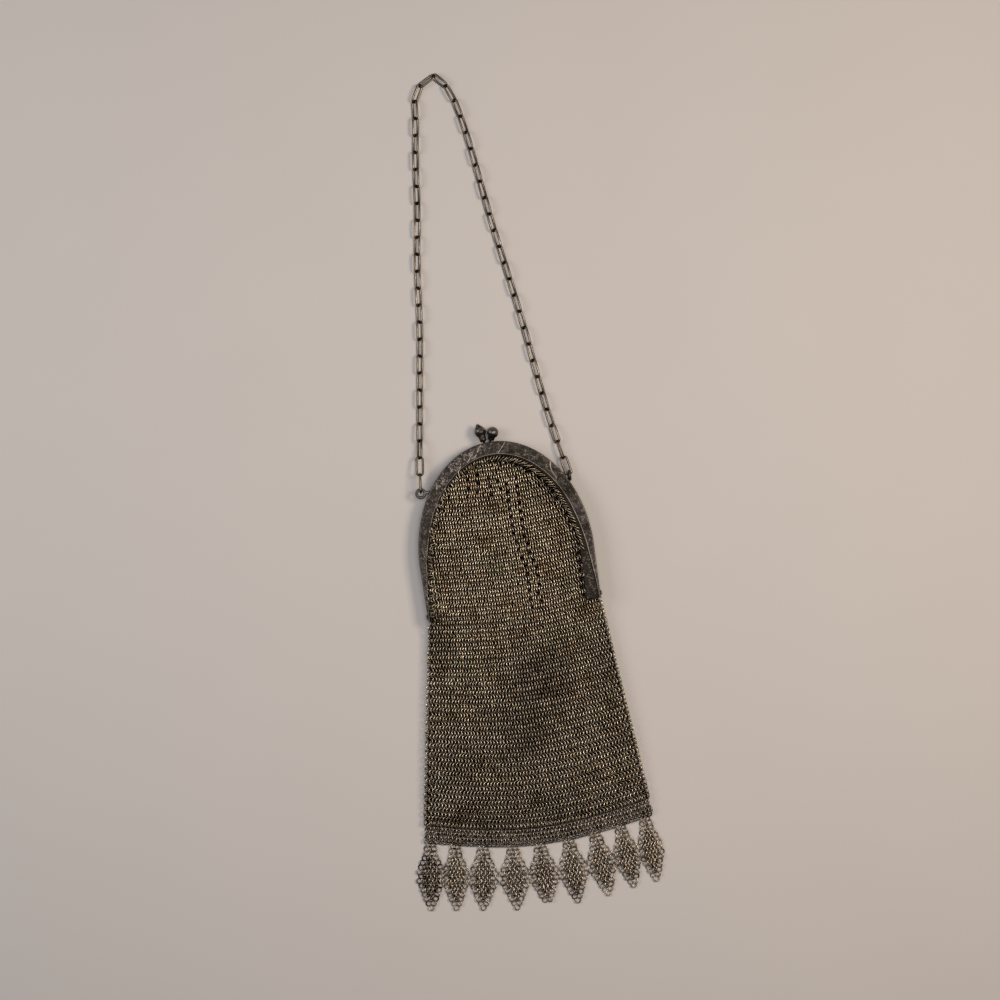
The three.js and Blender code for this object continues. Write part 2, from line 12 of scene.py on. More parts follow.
import bmesh
import bpy
from bpy.props import FloatProperty, FloatVectorProperty, IntProperty, PointerProperty
from mathutils import Matrix, Vector, kdtree


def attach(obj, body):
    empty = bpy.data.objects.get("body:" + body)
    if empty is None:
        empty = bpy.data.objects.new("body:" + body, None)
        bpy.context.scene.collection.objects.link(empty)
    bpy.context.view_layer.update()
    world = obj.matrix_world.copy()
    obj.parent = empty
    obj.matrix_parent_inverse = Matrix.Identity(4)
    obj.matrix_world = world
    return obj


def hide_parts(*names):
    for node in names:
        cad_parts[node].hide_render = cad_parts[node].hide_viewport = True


bl_info = {
    "name": "Metal mesh purse",
    "version": (1, 0, 0),
    "blender": (4, 5, 0),
    "location": "3D View > Sidebar > Purse",
    "description": "Builds a ring-mesh purse with an arched frame, a chain and a fringe of mesh diamonds",
    "category": "Object",
}

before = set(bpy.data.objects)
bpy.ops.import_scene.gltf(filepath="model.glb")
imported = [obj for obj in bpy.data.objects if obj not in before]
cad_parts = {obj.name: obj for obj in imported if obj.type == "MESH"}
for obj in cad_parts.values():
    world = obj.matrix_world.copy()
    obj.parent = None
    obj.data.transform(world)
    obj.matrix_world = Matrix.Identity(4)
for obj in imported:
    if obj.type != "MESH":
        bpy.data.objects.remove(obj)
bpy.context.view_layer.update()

MM = 0.001

# Where the frame lies, and how far it leans
HINGE = Vector((-11.45, -61.1, 0)) * MM
FRAME_LEAN = math.radians(8.25)
TO_SURFACE = Matrix.Translation(HINGE) @ Matrix.Rotation(FRAME_LEAN, 4, "Z")

# Frame, as in the solids
FRAME_WIDTH = 91 * MM
HALF_WIDTH = FRAME_WIDTH / 2
FRAME_HEIGHT = 88.1 * MM
ARM_HEIGHT = 28.6 * MM
ARM_TAPER = 0.4 * MM
FRAME_DEPTH = 9.6 * MM
SHEET = 0.9 * MM
RIM_WALL = 1.2 * MM
FACE_STEP = 0.9 * MM
FACE_TOP_WIDTH = 6.9 * MM
FACE_END_WIDTH = 0.8 * MM
FLANGE_WIDTH = 7.4 * MM
CLEARANCE = 0.3 * MM
HALF_DEPTH = (FRAME_DEPTH - CLEARANCE) / 2
MIDDLE = FRAME_DEPTH / 2

# Hinges, clasp and ears, as in the solids
HINGE_RADIUS = 2.4 * MM
LUG_THICKNESS = 1.1 * MM
ARM_END = HALF_WIDTH - ARM_TAPER
FRONT_LUG = ARM_END - RIM_WALL - CLEARANCE - LUG_THICKNESS
BACK_LUG = FRONT_LUG - CLEARANCE - LUG_THICKNESS
RIVET_RADIUS = 0.8 * MM
RIVET_HEAD_RADIUS = 1.5 * MM
RIVET_HEAD = 0.8 * MM
BALL_RADIUS = 3 * MM
FOOT_RADIUS = 1.4 * MM
TAIL_RADIUS = 0.6 * MM
TAIL_LENGTH = 2 * MM
FRONT_KNOB = (Vector((-3.3, 88.1, 6.375)) * MM, Vector((-4.5, 93.9, 5.28)) * MM)    # foot, ball
BACK_KNOB = (Vector((-0.2, 88.1, 3.225)) * MM, Vector((1.8, 92.7, 4.32)) * MM)
EAR_RADIUS = 2.15 * MM
EAR_WIRE = 1.5 * MM
EAR_NECK_RADIUS = 0.7 * MM
LEFT_EAR_HEIGHT = 66.6 * MM
RIGHT_EAR_HEIGHT = 65 * MM
LEFT_EAR_REACH = 4.6 * MM
RIGHT_EAR_REACH = 2.3 * MM

# Chain, as in the solids
LINK_PITCH = 8.8 * MM
LINK_WIDTH = 4.3 * MM
CHAIN_WIRE = 1 * MM
LINK_BEDDING = 0.25 * MM
LINK_LENGTH = LINK_PITCH + 2 * CHAIN_WIRE - LINK_BEDDING
LINK_ROLL = 45
TURNING_LINKS = 3
RAISED_LINKS = 4
CHAIN_ROUTE = [
    (-60.9, 15), (-60.9, 29.3), (-60.9, 56.7), (-60.9, 84), (-62.3, 119.6), (-62.2, 145.9),
    (-63.1, 171.3), (-63.2, 197.2), (-63.6, 205.6), (-60.3, 212.1), (-52.1, 216.9), (-46.4, 209.9),
    (-42.5, 202.8), (-36.8, 186.8), (-29.7, 162.2), (-22.5, 137.1), (-14.6, 112.1), (-6.8, 86.2),
    (0.4, 59.9), (5.3, 43), (9.5, 30),
]

# Bag, as in the solids. Down is -1 at the top of the arch, 0 at the hinge line and 1 at the bottom.
MESH_WALL = 1.4 * MM
BAG_TOP_WIDTH = 88.5 * MM
BAG_BOTTOM_WIDTH = 116.3 * MM
BAG_LENGTH = 104.5 * MM
BAG_SWING = -3.6 * MM
BAG_CORNER_DROP = 1.3 * MM
TOP_SAG = 3.5 * MM
BOTTOM_SAG = 8 * MM
BAG_SECTIONS = [    # down, then the front's and the back's height as shares of the frame's depth
    (-1.02, 0.90, 0.09), (-0.70, 0.89, 0.09), (-0.35, 0.89, 0.09), (-0.06, 0.90, 0.08),
    (0.06, 0.89, 0.02), (0.20, 0.87, 0), (0.40, 0.84, 0), (0.60, 0.80, 0), (0.78, 0.73, 0),
    (0.90, 0.63, 0), (1.00, 0.40, 0),
]
BAG_FOLDS = [       # from across and down, to across and down, rise, spread
    (0.54, -0.78, 0.67, 0.05, 0.03, 0.06), (0.50, -0.75, 0.62, 0.02, -0.04, 0.04),
    (0.36, -0.80, 0.33, -0.30, -0.03, 0.05), (0.16, 0.05, 0.24, 0.70, -0.04, 0.07),
    (0.80, 0.05, 0.84, 0.75, -0.04, 0.08), (0.55, 0.25, 0.48, 0.92, 0.04, 0.09),
]
SIDE_SHARE = 0.45
SEAM_LIFT = 0.25

# Fringe. Each diamond: across, lean in degrees, length and width in millimetres.
BAND_DEPTH = 10.8 * MM
DIAMONDS = [
    (0.028, -7.4, 35.0, 14.8), (0.135, -6.8, 33.9, 14.2), (0.255, -8.0, 33.1, 15.4),
    (0.380, -4.1, 33.0, 16.0), (0.496, -0.7, 32.4, 15.6), (0.618, 0.2, 33.2, 15.2),
    (0.732, 4.7, 33.0, 14.8), (0.846, 4.3, 32.9, 14.0), (0.958, 2.2, 33.6, 13.4),
]
DIAMOND_ROWS = [2, 3, 3, 4, 5, 6, 7, 6, 7, 6, 5, 4, 3, 2, 1]    # rings in each row, from the neck
BLUNT_DIAMOND = 4    # this one has lost the ring at its tip

# Lines along which the mesh has been pulled apart into larger holes, as (down, across). The holes lie
# to the left and to the right of the line by turns.
PULLED_LINES = [
    [(-0.84, 0.588), (-0.63, 0.588), (-0.46, 0.592), (-0.39, 0.598), (-0.26, 0.640), (-0.13, 0.626),
     (0.0, 0.632)],
    [(-0.88, 0.484), (-0.68, 0.486)], [(-0.92, 0.372), (-0.70, 0.352)],
]
HOLE_STAGGER = 0.018
# Tarnished patches of the mesh: middle across the frame's axes, radius, and how dark
TARNISH = [
    ((7, -38), 17, 0.50), ((-4, -62), 20, 0.42), ((12, -52), 14, 0.30), ((-42, -80), 26, 0.14),
    ((-30, -96), 22, 0.20), ((44, -30), 10, 0.30), ((0, -100), 24, 0.20), ((46, -70), 16, 0.16),
    ((-42, -12), 8, 0.45), ((40, 30), 7, 0.35), ((-40, 30), 6, 0.35), ((28, 60), 8, 0.25),
]

# Bright cuts across the face of the frame, as points across the frame's axes, in millimetres
BRIGHT_CUTS = [
    [(-5.2, 86.9), (-6.4, 85.4), (-8.0, 82.6), (-9.6, 80.6)], [(-10.6, 82.8), (-12.0, 80.6), (-13.4, 79.0)],
    [(7.6, 87.0), (6.4, 85.4), (4.9, 83.6), (3.2, 81.8)],
    [(29.4, 74.0), (29.0, 71.0), (29.3, 68.6), (31.4, 64.2)],
]

# How finely the solids' outline and the frame's section are divided
ARCH_SPACING = 0.25 * MM
FACE_CORNERS = 22
FLANGE_CORNERS = 16

# Knobs
KNOB_NECK = math.radians(42)    # the ball runs into its foot as a drop does
KNOB_STEPS = 40
KNOB_AROUND = 56
SEAM = 0.012                    # of the ball's two halves, as a share of its radius
PEAK_WAY = Vector((-0.24, 0.97, 0.05)).normalized()
PEAK_BLUNTNESS = 0.12
DENT_WAY = Vector((-0.29, 0.80, 0.52)).normalized()
DENT_SPREAD = 0.24
DENT_DEPTH = 2.0 * MM

# How much darker the mesh is: near the frame; on its last rows, as painted shade where the bag's rounded bottom turns
# down to the band; at the top and the bottom of the front; at the top and the bottom of the back, as painted shade
# inside the bag; on the rings at the bag's sides, as painted shade; and on the rings through the flange
FRAME_DARKENING = 0.35
HEM_SHADE = 0.25
FRONT_STAIN = (0.04, -0.10)
BACK_SHADE = (0.32, 0.12)
SIDE_SHADE = 0.25
HOOK_DARKENING = 0.42

# Pieces of the bag, each with its side and its start and end down the bag
BAG_PIECES = [
    ("front_mesh_upper", True, -2, -0.08), ("front_mesh_middle", True, -0.08, 0.40),
    ("front_mesh_lower", True, 0.40, 2),
    ("back_mesh_upper", False, -2, 0.25), ("back_mesh_lower", False, 0.25, 2),
]

Place = namedtuple("Place", "at turn size stain")             # of a copy of a shape
Station = namedtuple("Station", "at inwards along run")       # on the frame's outline
Groove = namedtuple("Groove", "at depth width shine")         # a point of an engraved line


def linear(hex_colour):
    """A colour as Blender wants it, from its sRGB hex value."""
    parts = [int(hex_colour[i:i + 2], 16) / 255 for i in (1, 3, 5)]
    return [p / 12.92 if p <= 0.04045 else ((p + 0.055) / 1.055) ** 2.4 for p in parts]


def smooth(share):
    share = min(max(share, 0), 1)
    return share * share * (3 - 2 * share)


def between(low, high, share):
    return low + (high - low) * share


# Sizes and colours that a user would change


def length_setting(name, description, default, least=0.0):
    return FloatProperty(name=name, description=description, default=default, min=least,
                         unit="LENGTH", precision=5)


def angle_setting(name, description, degrees):
    return FloatProperty(name=name, description=description, default=math.radians(degrees), unit="ROTATION")


def colour_setting(name, description, hex_colour):
    return FloatVectorProperty(name=name, description=description, default=linear(hex_colour),
                               subtype="COLOR", min=0, max=1)


class PurseSizes(bpy.types.PropertyGroup):
    ring_radius: length_setting("Ring radius", "Middle of the wire of a mesh ring", 1.5 * MM, 1 * MM)
    ring_wire: length_setting("Ring wire", "Radius of the wire of a mesh ring", 0.225 * MM, 0.1 * MM)
    ring_lean: angle_setting("Ring lean", "How far the bag's rings lie leaned over each other", 46)
    low_ring_lean: angle_setting("Lean at the bottom", "How far the rings lean where the bag is widest", 37)
    fringe_radius: length_setting("Fringe ring radius", "Middle of the wire of a fringe ring", 1.38 * MM, 1 * MM)
    fringe_wire: length_setting("Fringe wire", "Radius of the wire of a fringe ring", 0.37 * MM, 0.1 * MM)
    fringe_lean: angle_setting("Fringe ring lean", "How far the fringe's wider spaced rings lean", 38)
    columns: IntProperty(
        name="Ring columns", description="Rings across one side of the bag", default=63, min=10)
    upper_row: length_setting("Upper row pitch", "From row to row of rings inside the frame", 2.18 * MM, 1 * MM)
    lower_row: length_setting("Lower row pitch", "From row to row of rings at the bottom of the bag", 2.42 * MM, 1 * MM)
    pull: length_setting("Pulled gap", "How far the mesh is pulled apart to each side of a pulled line", 0.8 * MM)
    unruliness: angle_setting("Unruliness", "How unevenly the rings lie", 5)
    engraving: length_setting("Engraving depth", "Depth of the scrolls cut in the frame's face", 0.16 * MM)
    peak: length_setting("Peak of the front knob", "How far its cap is drawn up into a point", 1.9 * MM, 0.1 * MM)
    hook_pitch: length_setting("Frame ring pitch", "From ring to ring along the frame's flange", 1.95 * MM, 1 * MM)


class PurseColours(bpy.types.PropertyGroup):
    # The worn colours of the mesh and the fringe also make the painted highlight on the rings' raised halves; the
    # mesh's tarnished colour also makes their painted shade
    mesh_wear_and_highlight: colour_setting("Mesh, worn", "Top of the rings, rubbed bright", "#dfceb2")
    mesh_tarnish_and_shade: colour_setting("Mesh, tarnished", "Under side of the rings", "#24170a")
    fringe_wear_and_highlight: colour_setting("Fringe, worn", "Top of the fringe's rings", "#b6a793")
    # The frame's worn colour also makes painted highlights on the left ear's neck and the front knob's rim; its
    # tarnished colour also makes painted shade in that knob's dent and on its peak
    frame_wear_and_highlight: colour_setting("Frame, worn", "Edges and cuts of the frame, rubbed bright", "#9c938a")
    frame_tarnish_and_shade: colour_setting("Frame, tarnished", "Face of the frame", "#28231f")
    chain_bright: colour_setting("Chain, worn", "Outside of the links", "#80766a")
    chain_dark: colour_setting("Chain, tarnished", "Where the links bed into each other", "#2c241c")
    floor: colour_setting("Floor", "Plain pale board that the purse lies on", "#bfb9b4")


# Finishes. Each is a metal with the traces of its making and of long use.


def add(tree, kind, inputs=None, **settings):
    """Adds a node with its settings, and sets or links its inputs."""
    node = tree.nodes.new(kind)
    for name, value in settings.items():
        setattr(node, name, value)
    for socket, value in (inputs or {}).items():
        if isinstance(value, bpy.types.NodeSocket):
            tree.links.new(value, node.inputs[socket])
        else:
            node.inputs[socket].default_value = value
    return node


def old_metal(name, bright, dark, roughness, stain_size, grain_size, grain_height, tints=(), speckle=0.0,
              mottle=0.9, metallic=1.0):
    """A metal that is dark with tarnish and bright where its wear attribute says that it is rubbed; that attribute also
    holds painted highlights and painted shade.

    The stain attribute takes brightness off again, for real stains and for painted shade. tints are (colour, size,
    strength) of large tinted patches.
    speckle and mottle are how strongly the grain and the patches of tarnish break up the wear.
    """
    made = bpy.data.materials.new(name)
    made.use_nodes = True
    tree = made.node_tree
    tree.nodes.clear()
    place = add(tree, "ShaderNodeTexCoord").outputs["Object"]
    worn = add(tree, "ShaderNodeAttribute", attribute_name="worn").outputs["Fac"]
    # This attribute holds real stains and painted shade
    stain = add(tree, "ShaderNodeAttribute", attribute_name="stain").outputs["Fac"]
    patches = add(tree, "ShaderNodeTexNoise", {
        "Vector": place, "Scale": 1 / stain_size, "Detail": 3.0, "Roughness": 0.6}).outputs["Fac"]
    grain = add(tree, "ShaderNodeTexNoise", {
        "Vector": place, "Scale": 1 / grain_size, "Detail": 2.0, "Roughness": 0.5}).outputs["Fac"]
    uneven = add(tree, "ShaderNodeMath", {0: patches, 1: mottle, 2: -(mottle + speckle) / 2},
                 operation="MULTIPLY_ADD").outputs[0]
    speckled = add(tree, "ShaderNodeMath", {0: grain, 1: speckle, 2: uneven},
                   operation="MULTIPLY_ADD").outputs[0]
    rubbed = add(tree, "ShaderNodeMath", {0: worn, 1: speckled}, operation="ADD").outputs[0]
    bright_share = add(tree, "ShaderNodeMath", {0: rubbed, 1: stain},
                  operation="SUBTRACT", use_clamp=True).outputs[0]
    colour = add(tree, "ShaderNodeMix", {
        "Factor": bright_share, "A": (*dark, 1), "B": (*bright, 1)}, data_type="RGBA").outputs["Result"]
    for number, (tint, size, strength) in enumerate(tints):
        moved = add(tree, "ShaderNodeMapping", {
            "Vector": place, "Location": (number + 0.37, 0.11, 0.0)}).outputs["Vector"]
        where = add(tree, "ShaderNodeTexNoise", {
            "Vector": moved, "Scale": 1 / size, "Detail": 2.0}).outputs["Fac"]
        share = add(tree, "ShaderNodeMapRange", {
            "Value": where, "From Min": 0.52, "From Max": 0.72, "To Max": strength}).outputs["Result"]
        colour = add(tree, "ShaderNodeMix", {
            "Factor": share, "A": colour, "B": (*tint, 1)}, data_type="RGBA",
            blend_type="MULTIPLY").outputs["Result"]
    rough = add(tree, "ShaderNodeMapRange", {
        "Value": bright_share, "To Min": roughness + 0.14, "To Max": roughness}).outputs["Result"]
    bump = add(tree, "ShaderNodeBump", {
        "Height": grain, "Strength": 0.6, "Distance": grain_height}).outputs["Normal"]
    shader = add(tree, "ShaderNodeBsdfPrincipled", {
        "Base Color": colour, "Metallic": metallic, "Roughness": rough, "Normal": bump})
    add(tree, "ShaderNodeOutputMaterial", {"Surface": shader.outputs["BSDF"]})
    return made


def nickel_silver_rings(colours):
    """Drawn nickel silver wire, bent to rings: warm and dull, dark with tarnish and painted shade where the rings nest.
    """
    tints = [(linear("#b3a483"), 9 * MM, 0.7), (linear("#bcc2a6"), 14 * MM, 0.5),
             (linear("#cdb4a0"), 11 * MM, 0.6)]
    return old_metal("nickel_silver_ring_wire", colours.mesh_wear_and_highlight, colours.mesh_tarnish_and_shade, roughness=0.30,
                     stain_size=7 * MM, grain_size=0.5 * MM, grain_height=0.02 * MM, tints=tints)


def fringe_rings(colours):
    """The same wire in the fringe, greyer, as it has rubbed on the table and lost its tarnish."""
    return old_metal("nickel_silver_fringe_wire", colours.fringe_wear_and_highlight, colours.mesh_tarnish_and_shade, roughness=0.34,
                     stain_size=6 * MM, grain_size=0.5 * MM, grain_height=0.02 * MM,
                     tints=[(linear("#b9a99a"), 10 * MM, 0.5)])


def stamped_frame_metal(colours):
    """Stamped and hand cut silver-plated brass gone gunmetal grey, with fine scratches and rubbed edges."""
    return old_metal("tarnished_stamped_plate", colours.frame_wear_and_highlight, colours.frame_tarnish_and_shade, roughness=0.40,
                     stain_size=2.2 * MM, grain_size=0.5 * MM, grain_height=0.05 * MM,
                     tints=[(linear("#8f9384"), 12 * MM, 0.7)], speckle=0.6, mottle=0.5)


def turned_knob_metal(colours):
    """Turned plated brass of the knobs and rivets, smoother than the stamped plate."""
    return old_metal("tarnished_turned_brass", colours.frame_wear_and_highlight, colours.frame_tarnish_and_shade, roughness=0.19,
                     stain_size=2.2 * MM, grain_size=0.4 * MM, grain_height=0.02 * MM, metallic=0.6)


def chain_wire_metal(colours):
    """Soldered wire links, yellower than the frame, darker at their ends where they rub and hold dirt."""
    return old_metal("nickel_silver_chain_wire", colours.chain_bright, colours.chain_dark, roughness=0.3,
                     stain_size=5 * MM, grain_size=0.6 * MM, grain_height=0.03 * MM,
                     tints=[(linear("#b3a88c"), 16 * MM, 0.6)])


# Making shapes


def finish_piece(name, bm_or_mesh, metal, nodes=(), place=TO_SURFACE):
    """Turns a bmesh or a mesh into a piece that lies in place and rides on the purse."""
    if isinstance(bm_or_mesh, bmesh.types.BMesh):
        mesh = bpy.data.meshes.new(name)
        bm_or_mesh.to_mesh(mesh)
        bm_or_mesh.free()
    else:
        mesh = bm_or_mesh
        mesh.name = name
    mesh.transform(place)
    mesh.materials.clear()
    mesh.materials.append(metal)
    mesh.shade_smooth()
    piece = bpy.data.objects.new(name, mesh)
    bpy.context.scene.collection.objects.link(piece)
    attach(piece, "root")
    if nodes:
        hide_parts(*nodes)
    return piece


def drawn(bm, steps, corners, place, closed=False):
    """Draws a loop of corners along a run. place gives where a corner goes at a step, and its wear with any painted
    light.
    """
    number = bm.verts.layers.int.get("corner") or bm.verts.layers.int.new("corner")
    worn = bm.verts.layers.float.get("worn") or bm.verts.layers.float.new("worn")

    def settle(vert, step):
        vert.co, vert[worn] = place(step, vert[number])

    loop = [bm.verts.new() for _ in range(corners)]
    for corner, vert in enumerate(loop):
        vert[number] = corner
        settle(vert, 0)
    first = [bm.edges.new((loop[i], loop[(i + 1) % corners])) for i in range(corners)]
    edges = first
    for step in range(1, steps):
        made = bmesh.ops.extrude_edge_only(bm, edges=edges)["geom"]
        fresh = {part for part in made if isinstance(part, bmesh.types.BMVert)}
        for vert in fresh:
            settle(vert, step)
        edges = [part for part in made
                 if isinstance(part, bmesh.types.BMEdge) and set(part.verts) <= fresh]
    if closed:
        bmesh.ops.bridge_loops(bm, edges=first + edges)
    else:
        bmesh.ops.contextual_create(bm, geom=first)
        bmesh.ops.contextual_create(bm, geom=edges)


def wire_ring(radius, wire, around, sides, rubbed=0.0):
    """A ring of wire, flat in XY. Its -X side is the raised one: worn, with a painted highlight. The rest is tarnish
    with painted shade, no darker than rubbed says.
    """
    bm = bmesh.new()
    worn = bm.verts.layers.float.new("worn")
    section = Matrix.Translation((radius, 0, 0)) @ Matrix.Rotation(math.pi / 2, 4, "X")
    bmesh.ops.create_circle(bm, segments=sides, radius=wire, matrix=section)
    bmesh.ops.spin(bm, geom=bm.verts[:] + bm.edges[:], cent=(0, 0, 0), axis=(0, 0, 1), dvec=(0, 0, 0),
                   angle=2 * math.pi, steps=around, use_merge=True, use_duplicate=False)
    bmesh.ops.remove_doubles(bm, verts=bm.verts[:], dist=wire / 100)
    bmesh.ops.recalc_face_normals(bm, faces=bm.faces[:])
    for vert in bm.verts:
        # Painted highlight on the raised half and painted shade on the lowered half, over real wear and tarnish
        vert[worn] = between(rubbed, 1, smooth((-vert.co.x / radius - 0.22) / 0.55))
    return bm


def cloud_of(places):
    """A vertex for each place, with its turn, its size, and its stain with painted shade, as attributes."""
    bm = bmesh.new()
    turn = bm.verts.layers.float_vector.new("turn")
    size = bm.verts.layers.float_vector.new("size")
    stain = bm.verts.layers.float.new("stain")
    for place in places:
        vert = bm.verts.new(place.at)
        vert[turn] = Vector(place.turn.to_euler())
        vert[size] = place.size
        vert[stain] = place.stain
    cloud = bpy.data.meshes.new("places")
    bm.to_mesh(cloud)
    bm.free()
    return cloud


def repeated(shape, places):
    """One mesh with a copy of the shape at every place, made with Geometry Nodes."""
    model = bpy.data.objects.new("shape", bpy.data.meshes.new("shape"))
    shape.to_mesh(model.data)
    shape.free()
    carrier = bpy.data.objects.new("places", cloud_of(places))
    tree = bpy.data.node_groups.new("repeat a shape", "GeometryNodeTree")
    tree.interface.new_socket("Geometry", in_out="INPUT", socket_type="NodeSocketGeometry")
    tree.interface.new_socket("Geometry", in_out="OUTPUT", socket_type="NodeSocketGeometry")
    points = add(tree, "NodeGroupInput").outputs[0]
    one = add(tree, "GeometryNodeObjectInfo", {"Object": model}).outputs["Geometry"]
    turn = add(tree, "GeometryNodeInputNamedAttribute", {"Name": "turn"}, data_type="FLOAT_VECTOR").outputs[0]
    size = add(tree, "GeometryNodeInputNamedAttribute", {"Name": "size"}, data_type="FLOAT_VECTOR").outputs[0]
    copies = add(tree, "GeometryNodeInstanceOnPoints", {
        "Points": points, "Instance": one, "Rotation": turn, "Scale": size}).outputs[0]
    whole = add(tree, "GeometryNodeRealizeInstances", {"Geometry": copies}).outputs[0]
    add(tree, "NodeGroupOutput", {0: whole})
    for part in (model, carrier):
        bpy.context.scene.collection.objects.link(part)
    carrier.modifiers.new("copies", "NODES").node_group = tree
    bpy.context.view_layer.update()
    made = bpy.data.meshes.new_from_object(carrier.evaluated_get(bpy.context.evaluated_depsgraph_get()))
    for name in ("turn", "size"):
        if name in made.attributes:
            made.attributes.remove(made.attributes[name])
    for part in (model, carrier):
        bpy.data.objects.remove(part)
    bpy.data.node_groups.remove(tree)
    return made


def evenly(line, spacing):
    """Evenly spaced points along a line of points, each with the line's direction and the run to it."""
    runs = [0]
    for before, after in zip(line, line[1:]):
        runs.append(runs[-1] + (after - before).length)
    count = round(runs[-1] / spacing)
    k = 0
    for i in range(count + 1):
        run = runs[-1] * i / count
        while k + 2 < len(runs) and runs[k + 1] < run:
            k += 1
        share = (run - runs[k]) / (runs[k + 1] - runs[k])
        yield line[k].lerp(line[k + 1], share), (line[k + 1] - line[k]).normalized(), run


# The frame's arch


def arch(spacing):
    """Evenly spaced stations along the frame's outline, from the left arm's end to the right one's."""
    dense = [Vector((-ARM_END - ARM_TAPER * i / 40, ARM_HEIGHT * i / 40)) for i in range(40)]
    for i in range(401):
        angle = math.pi * i / 400
        dense.append(Vector((-HALF_WIDTH * math.cos(angle),
                             ARM_HEIGHT + (FRAME_HEIGHT - ARM_HEIGHT) * math.sin(angle))))
    dense += [Vector((-point.x, point.y)) for point in reversed(dense[:40])]
    return [Station(at, Vector((along.y, -along.x)), along, run) for at, along, run in evenly(dense, spacing)]


ARCH = arch(ARCH_SPACING)


def arch_at(run):
    return ARCH[min(max(round(run / ARCH[-1].run * (len(ARCH) - 1)), 0), len(ARCH) - 1)]


def outline_at(height):
    """How far the outline of the arch is from the middle at a height."""
    share = (height - ARM_HEIGHT) / (FRAME_HEIGHT - ARM_HEIGHT)
    return HALF_WIDTH * math.sqrt(1 - share * share)


def face_width(height):
    """The face is narrow at the arms' ends, widens quickly along the arms and slowly round the arch."""
    share = min(max(height / FRAME_HEIGHT, 0), 1)
    return FACE_END_WIDTH + (FACE_TOP_WIDTH - FACE_END_WIDTH) * between(smooth(share / 0.55), share, 0.45)


def on_face(run, inwards):
    """A place on the face of the frame, from how far along the arch it is and how far in."""
    station = arch_at(run)
    return station.at + station.inwards * inwards


def scroll(run, side, size, depth):
    """A leaf scroll in the face: a spiral with a stem that swings away from it, and a spray of small leaves."""
    width = face_width(arch_at(run).at.y)
    reach = 0.30 * width * size
    grooves = []
    for i in range(40):
        angle = 2.3 * math.pi * i / 39
        radius = reach * (1 - i / 52)
        grooves.append((run + radius * math.sin(angle), width * 0.5 - side * radius * math.cos(angle)))
    for i in range(18):
        share = i / 17
        grooves.append((run + reach * (1 + 1.4 * share),
                        width * (0.5 + side * 0.28 * math.cos(math.pi * share))))
    for leaf in range(3):
        lean = random.uniform(0.6, 1.4)
        for i in range(6):
            share = i / 5
            grooves.append((run + reach * (1.0 + 0.5 * leaf + 0.5 * lean * share),
                            width * (0.5 - side * (0.36 - 0.2 * share) * (1 if leaf % 2 else -1))))
    return [Groove(on_face(at, inwards), depth, 0.16 * MM, 0.06) for at, inwards in grooves]


def flecks(count, depth):
    """Short bright nicks in the face, closest together on the left shoulder, where it has rubbed most."""
    grooves = []
    for _ in range(count):
        station = arch_at(random.uniform(8 * MM, ARCH[-1].run - 8 * MM))
        width = face_width(station.at.y)
        is_shoulder = -34 * MM < station.at.x < -9 * MM and station.at.y > ARM_HEIGHT
        if width < 1.4 * MM or random.random() > (1.0 if is_shoulder else 0.4):
            continue
        start = station.at + station.inwards * width * random.uniform(0.12, 0.85)
        way = Matrix.Rotation(random.uniform(-0.9, 0.9), 2) @ station.along
        reach, shine = random.uniform(0.3, 1.3) * MM, random.uniform(0.1, 0.8) * (1.0 if is_shoulder else 0.6)
        steps = max(round(reach / (0.14 * MM)), 2)
        grooves += [Groove(start + way * reach * i / steps, depth, 0.18 * MM, shine) for i in range(steps)]
    return grooves


def flange_nicks(count, depth):
    """Short curved nicks stamped all over the flange of the right arm, where the mesh leaves it bare."""
    grooves = []
    for _ in range(count):
        station = arch_at(ARCH[-1].run - random.uniform(0.5, 27) * MM)
        inwards = random.uniform(face_width(station.at.y) + 0.5 * MM, FLANGE_WIDTH - 0.3 * MM)
        at = station.at + station.inwards * inwards
        angle, bend = random.uniform(-math.pi, math.pi), random.uniform(-0.5, 0.5)
        shine = random.uniform(0.05, 0.55)
        for _ in range(random.randint(3, 8)):
            grooves.append(Groove(at.copy(), depth, 0.22 * MM, shine))
            at += Vector((math.cos(angle), math.sin(angle))) * 0.2 * MM
            angle += bend
    return grooves


def engraving(depth):
    """Every groove of the frame, as points in its plane: border line, scrolls, nicks and bright cuts."""
    random.seed(5)
    grooves = []
    for station in ARCH[::2]:
        width = face_width(station.at.y)
        if width > 1.8 * MM:
            border = station.at + station.inwards * (width - 0.6 * MM)
            grooves.append(Groove(border, depth * 0.7, 0.13 * MM, 0.0))
    run, side = 14 * MM, 1
    while run < ARCH[-1].run - 14 * MM:
        width = face_width(arch_at(run).at.y)
        size = random.uniform(0.8, 1.25)
        if width > 1.6 * MM:
            grooves += scroll(run, side, size, depth * min(width / (4 * MM), 1))
        run += max(width * 0.95 * size, 2 * MM)
        side = -side
    grooves += flecks(700, depth * 0.3)
    grooves += flange_nicks(110, depth * 0.8)
    for cut in BRIGHT_CUTS:
        for (x0, y0), (x1, y1) in zip(cut, cut[1:]):
            for i in range(12):
                at = Vector((between(x0, x1, i / 12), between(y0, y1, i / 12))) * MM
                grooves.append(Groove(at, depth * 1.2, 0.22 * MM, 0.85))
    return grooves


